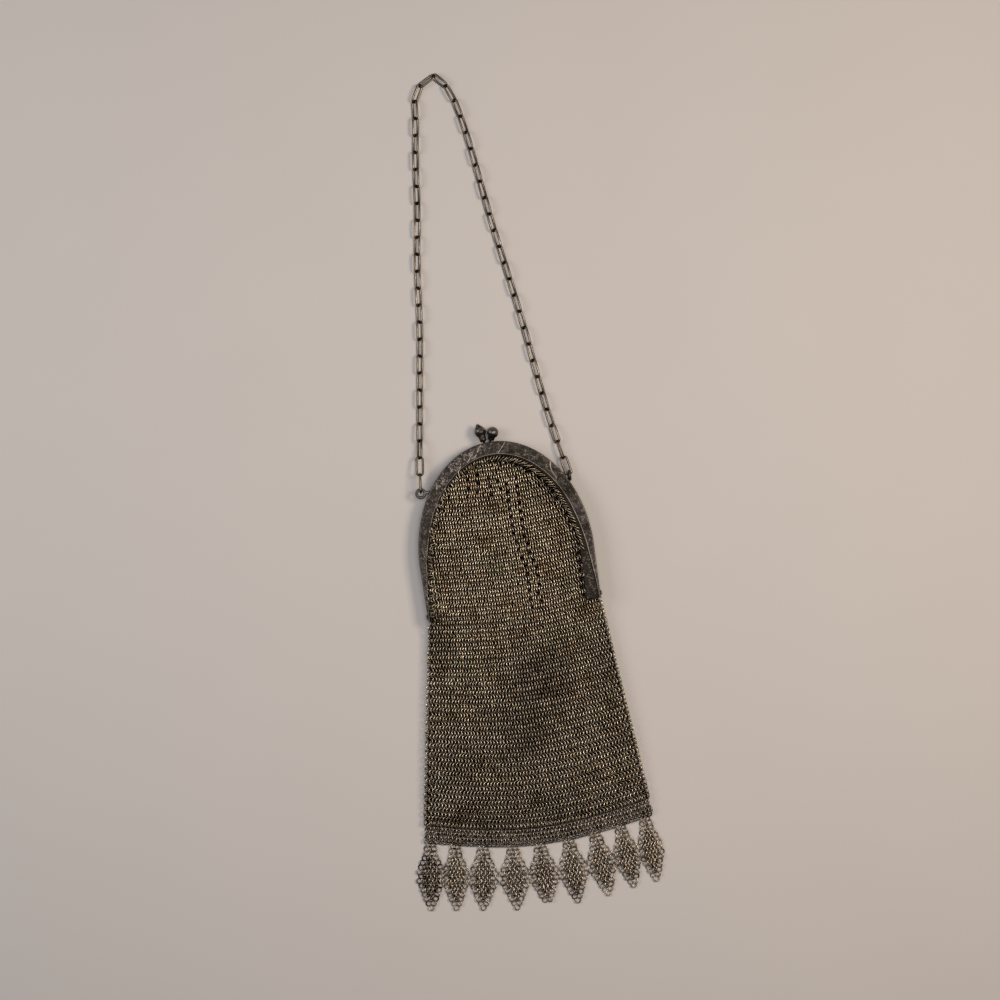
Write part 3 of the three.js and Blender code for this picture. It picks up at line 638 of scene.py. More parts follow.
def frame_section(width, shine):
    """Half the frame's section, as (from the outline, under the outer face, wear and painted light, whether it is
    engraved).

    shine is how bright the inner edge of the face has been rubbed.
    """
    edge = min(0.4 * MM, width * 0.25)
    line = min(0.42 * MM, width * 0.25)
    section = [(0, HALF_DEPTH, 0.2, False), (0, HALF_DEPTH * 0.6, 0, False), (0, 2 * edge, 0, False),
               (edge * 0.3, edge * 0.8, 0.25, False), (edge, edge * 0.2, 0.4, False)]
    for i in range(FACE_CORNERS + 1):
        share = i / FACE_CORNERS
        section.append((between(edge * 1.6, width - line * 1.2, share), 0.02 * MM, 0.04, True))
    section += [(width - line, 0.02 * MM, 0.5 * shine, False),
                (width - line * 0.45, 0.06 * MM, 0.95 * shine, False),
                (width, 0.24 * MM, 0.8 * shine, False),
                (width + 0.02 * MM, FACE_STEP * 0.85, -0.2, False)]
    for i in range(FLANGE_CORNERS + 1):
        inwards = between(width + 0.15 * MM, FLANGE_WIDTH - 0.1 * MM, i / FLANGE_CORNERS)
        section.append((inwards, FACE_STEP, -0.15, True))
    section += [(FLANGE_WIDTH, FACE_STEP + 0.15 * MM, 0.5, False),
                (FLANGE_WIDTH, FACE_STEP + SHEET - 0.1 * MM, 0, False),
                (FLANGE_WIDTH - 0.15 * MM, FACE_STEP + SHEET, 0, False),
                (RIM_WALL + 0.1 * MM, FACE_STEP + SHEET, 0, False),
                (RIM_WALL, FACE_STEP + SHEET + 0.15 * MM, 0, False), (RIM_WALL, HALF_DEPTH, 0.2, False)]
    return section


def frame_half_shape(is_front, spacing, depth):
    """One half of the frame: the stamped plate drawn along the arch, its two lugs and its ear."""
    bm = bmesh.new()
    stations = ARCH[::max(round(spacing / ARCH_SPACING), 1)]
    grooves = engraving(depth)
    tree = kdtree.KDTree(len(grooves))
    for i, groove in enumerate(grooves):
        tree.insert((*groove.at, 0), i)
    tree.balance()

    def place(step, corner):
        station = stations[step]
        shine = between(0.55, 1, smooth(station.at.x / HALF_WIDTH + 0.6))
        inwards, under, worn, is_cut = frame_section(face_width(station.at.y), shine)[corner]
        at = station.at + station.inwards * inwards
        if is_cut:
            _, i, far = tree.find((*at, 0))
            share = math.exp(-(far / grooves[i].width) ** 2)
            under += grooves[i].depth * share
            worn += grooves[i].shine * share
        return (at.x, at.y, FRAME_DEPTH - under if is_front else under), worn

    drawn(bm, len(stations), len(frame_section(FACE_TOP_WIDTH, 1)), place)
    for side in (-1, 1):
        add_lug(bm, is_front, side)
    add_ear(bm, -1 if is_front else 1)
    bmesh.ops.recalc_face_normals(bm, faces=bm.faces[:])
    return bm


def add_lug(bm, is_front, side):
    """A hinge tab with a rounded end around the rivet, standing inside the arm."""
    inner = FRONT_LUG if is_front else BACK_LUG
    way = 1 if is_front else -1
    before = set(bm.verts)
    disc = bmesh.ops.create_circle(bm, cap_ends=True, segments=24, radius=HINGE_RADIUS)["verts"]
    for vert in disc:
        if vert.co.y > 0:
            vert.co.y += MIDDLE - FACE_STEP - SHEET / 2 - HINGE_RADIUS
            if abs(vert.co.x) > HINGE_RADIUS * 0.7:
                vert.co.x = math.copysign(HINGE_RADIUS, vert.co.x)
    face = list({face for vert in disc for face in vert.link_faces})
    raised = bmesh.ops.extrude_face_region(bm, geom=face)["geom"]
    bmesh.ops.translate(bm, vec=(0, 0, LUG_THICKNESS),
                        verts=[part for part in raised if isinstance(part, bmesh.types.BMVert)])
    fresh = [vert for vert in bm.verts if vert not in before]
    edges = {edge for vert in fresh for edge in vert.link_edges if edge.calc_face_angle(0) > 1}
    bmesh.ops.bevel(bm, geom=list(edges), offset=0.15 * MM, offset_type="OFFSET", segments=2, profile=0.5,
                    affect="EDGES", material=-1)
    fresh = [vert for vert in bm.verts if vert not in before]
    for vert in fresh:
        across, up, out = vert.co.x, vert.co.y, vert.co.z
        vert.co = (side * (inner + out), HINGE_RADIUS + across, MIDDLE + way * up)


def ear_middle(side):
    """The middle of an ear. The left one lies flat on the front half, the right one stands on the back half."""
    height = LEFT_EAR_HEIGHT if side < 0 else RIGHT_EAR_HEIGHT
    reach = LEFT_EAR_REACH if side < 0 else RIGHT_EAR_REACH
    rise = FRAME_DEPTH - HALF_DEPTH + EAR_WIRE if side < 0 else EAR_RADIUS + EAR_WIRE / 2
    return Vector((side * (outline_at(height) + reach), height, rise))


def add_ear(bm, side):
    """An ear is a soldered ring of thick wire on a short neck."""
    middle = ear_middle(side)
    ring = wire_ring(EAR_RADIUS, EAR_WIRE / 2, 32, 12)
    if side > 0:
        bmesh.ops.rotate(ring, verts=ring.verts[:], matrix=Matrix.Rotation(math.pi / 2, 3, "Y"))
    bmesh.ops.translate(ring, verts=ring.verts[:], vec=middle)
    mark_worn(ring, lambda at: 0.12 + 0.3 * smooth((at.z - middle.z) / EAR_WIRE))
    made = bpy.data.meshes.new("ear")
    ring.to_mesh(made)
    ring.free()
    bm.from_mesh(made)
    bpy.data.meshes.remove(made)
    start = middle - Vector((0, EAR_RADIUS, 0)) if side > 0 else middle + Vector((EAR_RADIUS, 0, 0))
    end = Vector((side * (outline_at(start.y) - RIM_WALL / 2), start.y, start.z))
    way = end - start
    turn = way.to_track_quat("Z", "Y").to_matrix().to_4x4()
    neck = bmesh.ops.create_cone(bm, cap_ends=True, segments=16, radius1=EAR_NECK_RADIUS,
                                 radius2=EAR_NECK_RADIUS * 1.3, depth=way.length,
                                 matrix=Matrix.Translation((start + end) / 2) @ turn)["verts"]
    worn = bm.verts.layers.float["worn"]
    for vert in neck:
        # The upper side of the left ear's neck gets a painted highlight
        vert[worn] = 0.7 if side < 0 and vert.co.z > middle.z else 0.1


def turned(profile, start, end, around):
    """A turned piece from one point to another. The profile is a list of (radius, distance along)."""
    bm = bmesh.new()
    corners = [bm.verts.new((radius, 0, along)) for radius, along in profile]
    for before, after in zip(corners, corners[1:]):
        bm.edges.new((before, after))
    bmesh.ops.spin(bm, geom=bm.verts[:] + bm.edges[:], cent=(0, 0, 0), axis=(0, 0, 1), dvec=(0, 0, 0),
                   angle=2 * math.pi, steps=around, use_merge=True, use_duplicate=False)
    bmesh.ops.remove_doubles(bm, verts=bm.verts[:], dist=0.002 * MM)
    bmesh.ops.recalc_face_normals(bm, faces=bm.faces[:])
    turn = (end - start).to_track_quat("Z", "Y").to_matrix().to_4x4()
    bmesh.ops.transform(bm, verts=bm.verts[:], matrix=Matrix.Translation(start) @ turn)
    return bm


def mark_worn(bm, worn_at):
    """Writes each point's wear and painted light, from its place."""
    worn = bm.verts.layers.float.get("worn") or bm.verts.layers.float.new("worn")
    for vert in bm.verts:
        vert[worn] = worn_at(vert.co)


def knob_shape(knob, is_peaked, peak):
    """A clasp knob: pin, foot, stem and hollow ball. The front one's cap is drawn to a point and dented."""
    foot, middle = knob
    way = (middle - foot).normalized()
    start = foot - way * TAIL_LENGTH
    slant = math.sqrt(1 - way.y * way.y) / way.y
    seat = TAIL_LENGTH + CLEARANCE + FOOT_RADIUS * slant
    centre = (middle - start).length
    profile = [(0, 0), (TAIL_RADIUS, 0), (TAIL_RADIUS, seat), (FOOT_RADIUS, seat),
               (FOOT_RADIUS * 1.3, seat + 0.4 * MM), (FOOT_RADIUS * 1.3, seat + 1.3 * MM),
               (FOOT_RADIUS * 1.36, seat + 2.2 * MM)]
    for i in range(KNOB_STEPS + 1):
        angle = between(KNOB_NECK, math.pi, i / KNOB_STEPS)
        bulge = 1 + SEAM * math.exp(-((angle - math.pi / 2) / 0.09) ** 2)
        profile.append((BALL_RADIUS * math.sin(angle) * bulge if i < KNOB_STEPS else 0,
                        centre - BALL_RADIUS * math.cos(angle)))
    bm = turned(profile, start, middle, KNOB_AROUND)
    cone = math.acos(BALL_RADIUS / (BALL_RADIUS + peak))    # the peak's sides run off the ball at this angle
    for vert in bm.verts:
        out = vert.co - middle
        if not is_peaked or out.angle(PEAK_WAY) > 1.9 * cone or out.length < BALL_RADIUS * 0.9:
            continue
        out.normalize()
        sunk = math.exp(-(out.angle(DENT_WAY) / DENT_SPREAD) ** 4)
        off = max(cone - max(out.angle(PEAK_WAY), PEAK_BLUNTNESS), 0)
        vert.co = middle + out * BALL_RADIUS / math.cos(off) - DENT_WAY * DENT_DEPTH * sunk

    # The front knob's dent and peak are painted darker as shade, and the dent's rim gets a painted highlight on its
    # right side only
    def worn_at(at):
        out = at - middle
        if out.length < BALL_RADIUS * 0.5 or out.dot(way) < 0:
            return -0.1
        if not is_peaked:
            return 0.3
        away = out.angle(DENT_WAY)
        painted_rim_highlight = 0.5 * math.exp(-((away - 0.38) / 0.10) ** 2) if out.normalized().x > DENT_WAY.x else 0
        shaded = 0.4 * smooth((cone - out.angle(PEAK_WAY)) / 0.3) + 1.2 * math.exp(-(away / 0.28) ** 4)
        return 0.3 + painted_rim_highlight - shaded

    mark_worn(bm, worn_at)
    return bm


def rivet_shape(side):
    """A hinge rivet with a domed head at each end."""
    inner = BACK_LUG - CLEARANCE - RIVET_HEAD
    outer = ARM_END + CLEARANCE + RIVET_HEAD
    start, end = (Vector((side * x, HINGE_RADIUS, MIDDLE)) for x in (inner, outer))
    reach = outer - inner
    dome = [(RIVET_HEAD_RADIUS * math.cos(i * math.pi / 12), RIVET_HEAD * math.sin(i * math.pi / 12))
            for i in range(7)]
    profile = [(r, RIVET_HEAD - h) for r, h in reversed(dome)] + [(RIVET_RADIUS, RIVET_HEAD)]
    profile += [(RIVET_RADIUS, reach - RIVET_HEAD)] + [(r, reach - RIVET_HEAD + h) for r, h in dome]
    profile[0], profile[-1] = (0, 0), (0, reach)
    bm = turned(profile, start, end, 24)
    mark_worn(bm, lambda at: 0.6 if abs(at.x) > outer - 0.45 * MM else 0.1)
    return bm


# Chain


def catmull_rom(points):
    """A link's pitch apart, the points of a smooth centripetal curve through the given ones."""
    dense = []
    padded = [points[0] * 2 - points[1], *points, points[-1] * 2 - points[-2]]
    for p0, p1, p2, p3 in zip(padded, padded[1:], padded[2:], padded[3:]):
        t1 = (p1 - p0).length ** 0.5
        t2 = t1 + (p2 - p1).length ** 0.5
        t3 = t2 + (p3 - p2).length ** 0.5
        for i in range(60):
            t = between(t1, t2, i / 60)
            a1 = p0 * ((t1 - t) / t1) + p1 * (t / t1)
            a2 = p1 * ((t2 - t) / (t2 - t1)) + p2 * ((t - t1) / (t2 - t1))
            a3 = p2 * ((t3 - t) / (t3 - t2)) + p3 * ((t - t2) / (t3 - t2))
            b1 = a1 * ((t2 - t) / t2) + a2 * (t / t2)
            b2 = a2 * ((t3 - t) / (t3 - t1)) + a3 * ((t - t1) / (t3 - t1))
            dense.append(b1 * ((t2 - t) / (t2 - t1)) + b2 * ((t - t1) / (t2 - t1)))
    dense.append(points[-1])
    return [at for at, _, _ in evenly(dense, LINK_PITCH)]


def chain_end(side, following):
    middle = TO_SURFACE @ ear_middle(side)
    middle.z = 0
    hold = EAR_RADIUS - EAR_WIRE / 2 - CLEARANCE - CHAIN_WIRE / 2
    return middle + (following - middle).normalized() * (hold + (CHAIN_WIRE - LINK_BEDDING) / 2)


def link_places():
    """Where each link of the chain lies, as in the solid."""
    laid = [Vector((x, y, 0)) * MM for x, y in CHAIN_ROUTE]
    joints = catmull_rom([chain_end(-1, laid[0]), *laid, chain_end(1, laid[-1])])
    count = len(joints) - 1
    lie = ((LINK_WIDTH - CHAIN_WIRE) * math.sin(math.radians(LINK_ROLL)) + CHAIN_WIRE) / 2
    for i, joint in enumerate(joints):
        joint.z = (lie + (ear_middle(-1).z - lie) * (1 - smooth(i / RAISED_LINKS))
                   + (ear_middle(1).z - lie) * (1 - smooth((count - i) / RAISED_LINKS)))
    places = []
    for i, (start, end) in enumerate(zip(joints, joints[1:])):
        way = (end - start).normalized()
        across = Vector((-way.y, way.x, 0)).normalized()
        basis = Matrix((way, across, way.cross(across))).transposed()
        end_turn = 0 if count % 2 == 0 else 90
        roll = (90 if i % 2 == 0 else 0) + LINK_ROLL * smooth(i / TURNING_LINKS)
        roll -= (LINK_ROLL + end_turn) * (1 - smooth((count - 1 - i) / TURNING_LINKS))
        turn = basis @ Matrix.Rotation(math.radians(roll), 3, "X")
        stretch = ((end - start).length + 2 * CHAIN_WIRE - LINK_BEDDING) / LINK_LENGTH
        places.append(Place((start + end) / 2, turn, Vector((stretch, 1, 1)), random.uniform(-0.1, 0.2)))
    return places


def chain_link_shape():
    """An oval link: a ring of wire pulled apart in the middle, with its ends dark where they bed."""
    bm = wire_ring((LINK_WIDTH - CHAIN_WIRE) / 2, CHAIN_WIRE * 0.6, 24, 9)
    pull = (LINK_LENGTH - LINK_WIDTH) / 2
    for vert in bm.verts:
        if abs(vert.co.x) > 0.01 * MM:
            vert.co.x += math.copysign(pull, vert.co.x)
    mark_worn(bm, lambda at: 0.75 - 0.75 * smooth((abs(at.x) - LINK_LENGTH * 0.36) / (LINK_LENGTH * 0.10)))
    return bm


# Bag


def bag_place(across, down):
    """A place on the bag, in the frame's axes. The rows of rings bow down."""
    side = across - 0.5
    sag = math.sin(math.pi * min(max(across, 0), 1))
    if down < 0:
        return Vector((side * BAG_TOP_WIDTH, -down * FRAME_HEIGHT - TOP_SAG * sag))
    width = between(BAG_TOP_WIDTH, BAG_BOTTOM_WIDTH, down)
    drop = BAG_LENGTH * down + 2 * BAG_CORNER_DROP * side * down
    return Vector((side * width + BAG_SWING * down, -drop - between(TOP_SAG, BOTTOM_SAG, down) * sag))


def section_share(down, column):
    """The front's or the back's height at a place down the bag, smoothed between the sections."""
    total = 0
    for nudge in (-0.05, -0.025, 0, 0.025, 0.05):
        at = min(max(down + nudge, BAG_SECTIONS[0][0]), BAG_SECTIONS[-1][0])
        for upper, lower in zip(BAG_SECTIONS, BAG_SECTIONS[1:]):
            if upper[0] <= at <= lower[0]:
                total += between(upper[column], lower[column], (at - upper[0]) / (lower[0] - upper[0]))
                break
    return total / 5


def fold_rise(across, down):
    here = bag_place(across, down)
    rise = 0
    for from_across, from_down, to_across, to_down, height, spread in BAG_FOLDS:
        start, end = bag_place(from_across, from_down), bag_place(to_across, to_down)
        line = end - start
        along = min(max((here - start).dot(line) / line.length_squared, 0), 1)
        far = (here - start - line * along).length / (spread * BAG_TOP_WIDTH)
        rise += height * FRAME_DEPTH * math.exp(-far * far)
    return rise


def bag_heights(across, down):
    """Heights of the bag's front and back at a place."""
    front, back = (section_share(down, column) * FRAME_DEPTH for column in (1, 2))
    edge = min(abs(2 * across - 1), 1) ** 4
    rounded = SIDE_SHARE + (1 - SIDE_SHARE) * math.sqrt(1 - edge)
    share = 1 + (rounded - 1) * smooth((down + 0.1) * 5)
    low = back + (front - back) * (1 - share) * SEAM_LIFT
    return low + (front - back) * share + fold_rise(across, down) * math.sqrt(1 - edge), low


def ring_sheet(across, down, is_front, thick):
    """The middle of the mesh at a place. thick is half the thickness of the mesh of rings."""
    at = bag_place(across, down)
    front, back = bag_heights(across, down)
    under = max(back + MESH_WALL / 2, thick + 0.04 * MM)
    over = max(front - MESH_WALL / 2, under + 1.15 * thick)
    return Vector((at.x, at.y, over if is_front else under))


def pulled(across, down, number, pull):
    """Moves a place across the bag away from the holes along the pulled lines."""
    stagger = HOLE_STAGGER if number % 2 else -HOLE_STAGGER
    for line in PULLED_LINES:
        for (down0, across0), (down1, across1) in zip(line, line[1:]):
            if down0 <= down < down1:
                off = across - between(across0, across1, (down - down0) / (down1 - down0)) - stagger
                fade = min(smooth((down - line[0][0]) / 0.06), smooth((line[-1][0] - down) / 0.06))
                across += math.copysign(pull * fade * math.exp(-abs(off) / 0.04), off)
    return across


def row_downs(sizes, start, end):
    """Where the rows of rings lie down the bag, in two lists: inside the frame and below the hinge line."""
    above, run = [], sizes.upper_row * (1 - start)
    while run < FRAME_HEIGHT:
        above.append(-run / FRAME_HEIGHT)
        run += sizes.upper_row
    below, run = [], sizes.upper_row * start
    while run < end:
        below.append(run / BAG_LENGTH)
        run += between(sizes.upper_row, sizes.lower_row, run / BAG_LENGTH)
    return above, below


def stain_at(at):
    """How tarnished the mesh is at a place."""
    dark = 0
    for middle, radius, strength in TARNISH:
        far = (Vector(middle) * MM - at.xy).length / (radius * MM)
        dark = max(dark, strength * math.exp(-far * far))
    return dark


def ring_turn(sheet, lean, is_flipped, unruly):
    """How a ring lies: leaned over along its row, one way or the other, and a little unevenly."""
    turn = sheet @ Matrix.Rotation(math.pi if is_flipped else 0, 3, "Z")
    for off, axis in ((lean + random.gauss(0, unruly), "Y"), (random.gauss(0, unruly * 0.8), "X"),
                      (random.gauss(0, unruly * 0.6), "Z")):
        turn = turn @ Matrix.Rotation(off, 3, axis)
    return turn


def inside_arch(at):
    """Whether a place is within the frame's outline."""
    if at.y < ARM_HEIGHT:
        return abs(at.x) < HALF_WIDTH
    return (at.x / HALF_WIDTH) ** 2 + ((at.y - ARM_HEIGHT) / (FRAME_HEIGHT - ARM_HEIGHT)) ** 2 < 1


def arch_tree():
    """For finding the station of the outline that is nearest to a place."""
    tree = kdtree.KDTree(len(ARCH))
    for i, station in enumerate(ARCH):
        tree.insert((*station.at, 0), i)
    tree.balance()
    return tree


def mesh_start(station, is_front):
    """How far inside the outline the mesh starts. In front it lies over the flange, except on the bare arm."""
    bare = FLANGE_WIDTH + 0.9 * MM
    covered = max(face_width(station.at.y), 1.2 * MM)
    covered += between(1.0, 1.7, smooth(station.at.x / (30 * MM) + 0.5)) * MM
    if not is_front:
        return bare
    if station.at.x < 0:
        return covered
    return between(bare, covered + 2.6 * MM * smooth(station.at.y / (60 * MM)),
                   smooth((station.at.y - 25 * MM) / (6 * MM)))


def sheet_turn(across, down, is_front, thick):
    """How the mesh lies at a place: its X goes along the row, its Y up the bag and its Z outwards."""
    step = 0.004
    right, left, above, below = (ring_sheet(across + x, down + y, is_front, thick)
                                 for x, y in ((step, 0), (-step, 0), (0, -step), (0, step)))
    along, upwards = right - left, above - below
    normal = along.cross(upwards).normalized()
    if not is_front:
        normal, along = -normal, -along
    along.normalize()
    return Matrix((along, normal.cross(along), normal)).transposed()


def bag_rings(sizes, is_front):
    """The rings of one side of the bag, each with its place down the bag, row by row from the top.

    The rows lean against each other one way and the other by turns.
    """
    thick = sizes.ring_radius * math.sin(sizes.ring_lean) + sizes.ring_wire
    above, below = row_downs(sizes, 0.5 if is_front else 0.95, BAG_LENGTH + (1.9 if is_front else -0.4) * MM)
    rows = [(down, -1 - i) for i, down in enumerate(above)][::-1] + [(down, i) for i, down in enumerate(below)]
    outline = arch_tree()
    places = []
    count = sizes.columns
    for down, number in rows:
        low = smooth(down)
        for column in range(count):
            across = (column + 0.5 + 0.5 * (number % 2 if is_front else (number + 1) % 2)) / (count + 0.5)
            across = pulled(across, down, number, sizes.pull / BAG_TOP_WIDTH)
            at = ring_sheet(across, down, is_front, thick)
            lean = between(sizes.ring_lean, sizes.low_ring_lean, low)
            unruly = sizes.unruliness
            # The bag's last rows get painted shade where its rounded bottom turns down to the band
            stain = stain_at(at) + HEM_SHADE * smooth((down - 0.96) / 0.04) + random.gauss(0, 0.08)
            # The back sheet, seen through the front, is painted darker as shade inside the bag
            stain += between(*(FRONT_STAIN if is_front else BACK_SHADE), low)
            if at.y > -2 * MM:
                _, i, far = outline.find((at.x, at.y, 0))
                start = mesh_start(ARCH[i], is_front)
                if at.y > 0 and (far < start or not inside_arch(at)):
                    continue
                near = math.exp(-((far - start) / (2.2 * MM)) ** 2)
                unruly *= 1 + 2.5 * near
                stain += FRAME_DARKENING * near
                over = smooth((FLANGE_WIDTH + 1.4 * MM - far) / (1.6 * MM)) if is_front and at.y > 0 else 0
                lean *= 1 - 0.6 * over
                rest = FRAME_DEPTH - FACE_STEP + sizes.ring_radius * math.sin(lean) + sizes.ring_wire
                at.z = between(at.z, max(at.z, rest), over)
            at += Vector([random.gauss(0, 0.05 * MM) for _ in range(3)])
            turn = ring_turn(sheet_turn(across, down, is_front, thick), lean, number % 2, unruly)
            size = 1 + 0.05 * low
            places.append((Place(at, turn, Vector((size, size, 1)), stain), down))
        if is_front and down > 0.01:
            places += [(place, down) for place in side_rings(sizes, down, number, thick)]
    return places


def side_rings(sizes, down, number, thick):
    """The rings at both sides of the bag, where the front turns into the back."""
    places = []
    for side in (-1, 1):
        across = 0.5 + 0.5 * side
        front, back = (ring_sheet(across, down, is_front, thick) for is_front in (True, False))
        way = bag_place(across, down - 0.01) - bag_place(across, down + 0.01)
        upwards = Vector((way.x, way.y, 0)).normalized()
        normal = Vector((side * upwards.y, -side * upwards.x, 0))
        sheet = Matrix((upwards.cross(normal), upwards, normal)).transposed()
        for share in ((0.5,) if number % 2 == 0 else (0.15, 0.85)):
            at = back.lerp(front, share) + normal * (0.2 * MM if len(places) % 2 else 0)
            turn = ring_turn(sheet, sizes.ring_lean * 0.8, number % 2, sizes.unruliness)
            # The side rings are painted darker as shade where the bag turns from front to back
            places.append(Place(at, turn, Vector((1, 1, 1)), SIDE_SHADE + random.gauss(0, 0.07)))
    return places


def frame_rings(sizes, is_front):
    """The rings that go through the frame's flange and hold the mesh, leaning along the arch."""
    places = []
    side = 1 if is_front else -1
    run = 3 * MM if is_front else 6 * MM
    last = ARCH[-1].run - (25 * MM if is_front else 6 * MM)
    while run < last:
        station = arch_at(run)
        long = between(1.05, 1.32, smooth(station.at.x / (30 * MM) + 0.5)) if is_front else 1
        reach = face_width(station.at.y) + 1.8 * MM * long if is_front else FLANGE_WIDTH - 0.2 * MM
        at = station.at + station.inwards * (reach + random.gauss(0, 0.1 * MM))
        along = Vector((*station.along, 0))
        swing = between(-8, -50, smooth(station.at.x / (60 * MM) + 0.5)) if is_front else 20
        jumble = 2.6 if is_front and station.at.x < -20 * MM else 1
        way = Matrix.Rotation(math.radians(swing) + random.gauss(0, 0.14 * jumble), 3, "Z")
        upright = 71 if not is_front else between(71, 82, smooth(station.at.x / (40 * MM) + 0.5))
        lean = math.radians(upright) + random.gauss(0, 0.07 * jumble)
        normal = way @ (Vector((0, 0, side)) * math.cos(lean) + along * math.sin(lean))
        upwards = way @ Vector((*station.inwards, 0))
        turn = Matrix((upwards.cross(normal), upwards, normal)).transposed()
        if is_front:
            turn = turn @ Matrix.Rotation(math.pi, 3, "Z")
        rise = FACE_STEP + SHEET / 2
        places.append(Place(Vector((at.x, at.y, FRAME_DEPTH - rise if is_front else rise + 0.7 * MM)), turn,
                            Vector((1, long, 1)), HOOK_DARKENING + random.gauss(0, 0.12)))
        run += sizes.hook_pitch
    return places


# Fringe


def bottom_edge(across, depth):
    """A place under the bag's bottom edge."""
    step = 0.01
    along = (bag_place(across + step, 1) - bag_place(across - step, 1)).normalized()
    return bag_place(across, 1) + Vector((along.y, -along.x)) * depth


def fringe_place(at, upwards, sizes, is_flipped, stain, flat=1.0, raised=0.0):
    """A ring of the fringe, lying on the surface or on the rings under it."""
    lean = sizes.fringe_lean * flat
    rise = sizes.fringe_radius * math.sin(lean) + sizes.fringe_wire + 0.05 * MM + raised
    sheet = Matrix((Vector((upwards.y, -upwards.x, 0)), Vector((*upwards, 0)), Vector((0, 0, 1)))).transposed()
    turn = ring_turn(sheet, lean, is_flipped, sizes.unruliness * 1.3)
    spot = Vector((at.x, at.y, rise)) + Vector([random.gauss(0, 0.06 * MM) for _ in range(2)] + [0])
    return Place(spot, turn, Vector((1, 1, 1)), stain + random.gauss(0, 0.17))


def band_places(sizes, is_front):
    """The band under the bag, with a flatter hem. Its back layer lies half a ring off and is painted dark as shade
    under the front layer.
    """
    places = []
    rows = 5 if is_front else 4
    columns = sizes.columns - 2
    for row in range(rows):
        depth = between(0.7 * MM, BAND_DEPTH - 1.4 * MM, (row if is_front else row + 0.5) / 4)
        for column in range(columns):
            across = (column + 0.5 + 0.5 * ((row % 2) == is_front)) / (columns + 0.5)
            at = bottom_edge(across, depth)
            upwards = (bottom_edge(across, 0) - bottom_edge(across, BAND_DEPTH)).normalized()
            is_hem = is_front and row == rows - 1
            places.append(fringe_place(at, upwards, sizes, row % 2, 0.08 if is_front else 0.7,
                                       0.8 if is_hem else 1.15, 0.4 * MM if is_front and not is_hem else 0))
    return places


def diamond_places(sizes, number, is_front):
    """One diamond: its rings lie row by row, the ones at its edges flatter and in a single layer."""
    across, lean, length, width = DIAMONDS[number]
    neck = bottom_edge(across, BAND_DEPTH)
    turn = Matrix.Rotation(math.radians(lean), 2)
    widest = (width * MM - 2 * sizes.fringe_radius) / 6
    places = []
    for row, count in enumerate(DIAMOND_ROWS):
        if number == BLUNT_DIAMOND and count == 1:
            continue
        down = between(0.6 * MM, length * MM - sizes.fringe_radius, row / (len(DIAMOND_ROWS) - 1))
        narrow = 2.1 * MM if row < 6 else 2.75 * MM
        pitch = between(narrow, widest, smooth((count - 1) / 4))
        step_down = length * MM / len(DIAMOND_ROWS) / 2
        for column in range(count):
            is_edge = column in (0, count - 1)
            if not is_front and (is_edge or count < 4):
                continue
            at = neck + turn @ Vector(((column - (count - 1) / 2) * pitch, -down))
            if not is_front:
                at += turn @ Vector((pitch / 2 if column < count / 2 else -pitch / 2, -step_down))
            # The back layer is painted darker as shade under the front layer
            stain = (0.30 if number == 0 else -0.04) + (0 if is_front else 0.22)
            places.append(fringe_place(at, turn @ Vector((0, 1)), sizes, row % 2, stain,
                                       0.4 if is_edge else 1.0, 0.4 * MM if is_front and not is_edge else 0))
    return places


# Operators, one for each piece or group of like pieces


class PURSE_OT_frame_halves(bpy.types.Operator):
    """Builds the front and back halves of the arched frame, engraved, with their lugs and ears"""

    bl_idname = "purse.frame_halves"
    bl_label = "Frame halves"

    def execute(self, context):
        metal = stamped_frame_metal(context.scene.purse_colours)
        depth = context.scene.purse_sizes.engraving
        for is_front, word, spacing in ((True, "front", ARCH_SPACING), (False, "back", 3 * ARCH_SPACING)):
            shape = frame_half_shape(is_front, spacing, depth)
            finish_piece(f"engraved_{word}_half", shape, metal, [f"{word}_frame_half"])
        return {"FINISHED"}


class PURSE_OT_rivets(bpy.types.Operator):
    """Builds the two hinge rivets"""

    bl_idname = "purse.rivets"
    bl_label = "Hinge rivets"

    def execute(self, context):
        metal = turned_knob_metal(context.scene.purse_colours)
        for side, word in ((-1, "left"), (1, "right")):
            finish_piece(f"domed_rivet_{word}", rivet_shape(side), metal, [f"hinge_rivet_{word}"])
        return {"FINISHED"}


class PURSE_OT_clasp(bpy.types.Operator):
    """Builds the two knobs of the snap clasp"""

    bl_idname = "purse.clasp"
    bl_label = "Clasp knobs"

    def execute(self, context):
        metal = turned_knob_metal(context.scene.purse_colours)
        peak = context.scene.purse_sizes.peak
        finish_piece("peaked_knob", knob_shape(FRONT_KNOB, True, peak), metal, ["clasp_knob_front"])
        finish_piece("round_knob", knob_shape(BACK_KNOB, False, peak), metal, ["clasp_knob_back"])
        return {"FINISHED"}


class PURSE_OT_chain(bpy.types.Operator):
    """Builds the chain handle of oval wire links"""

    bl_idname = "purse.chain"
    bl_label = "Chain"

    def execute(self, context):
        random.seed(11)
        mesh = repeated(chain_link_shape(), link_places())
        finish_piece("chain_links", mesh, chain_wire_metal(context.scene.purse_colours), ["chain"],
                     Matrix.Identity(4))
        return {"FINISHED"}


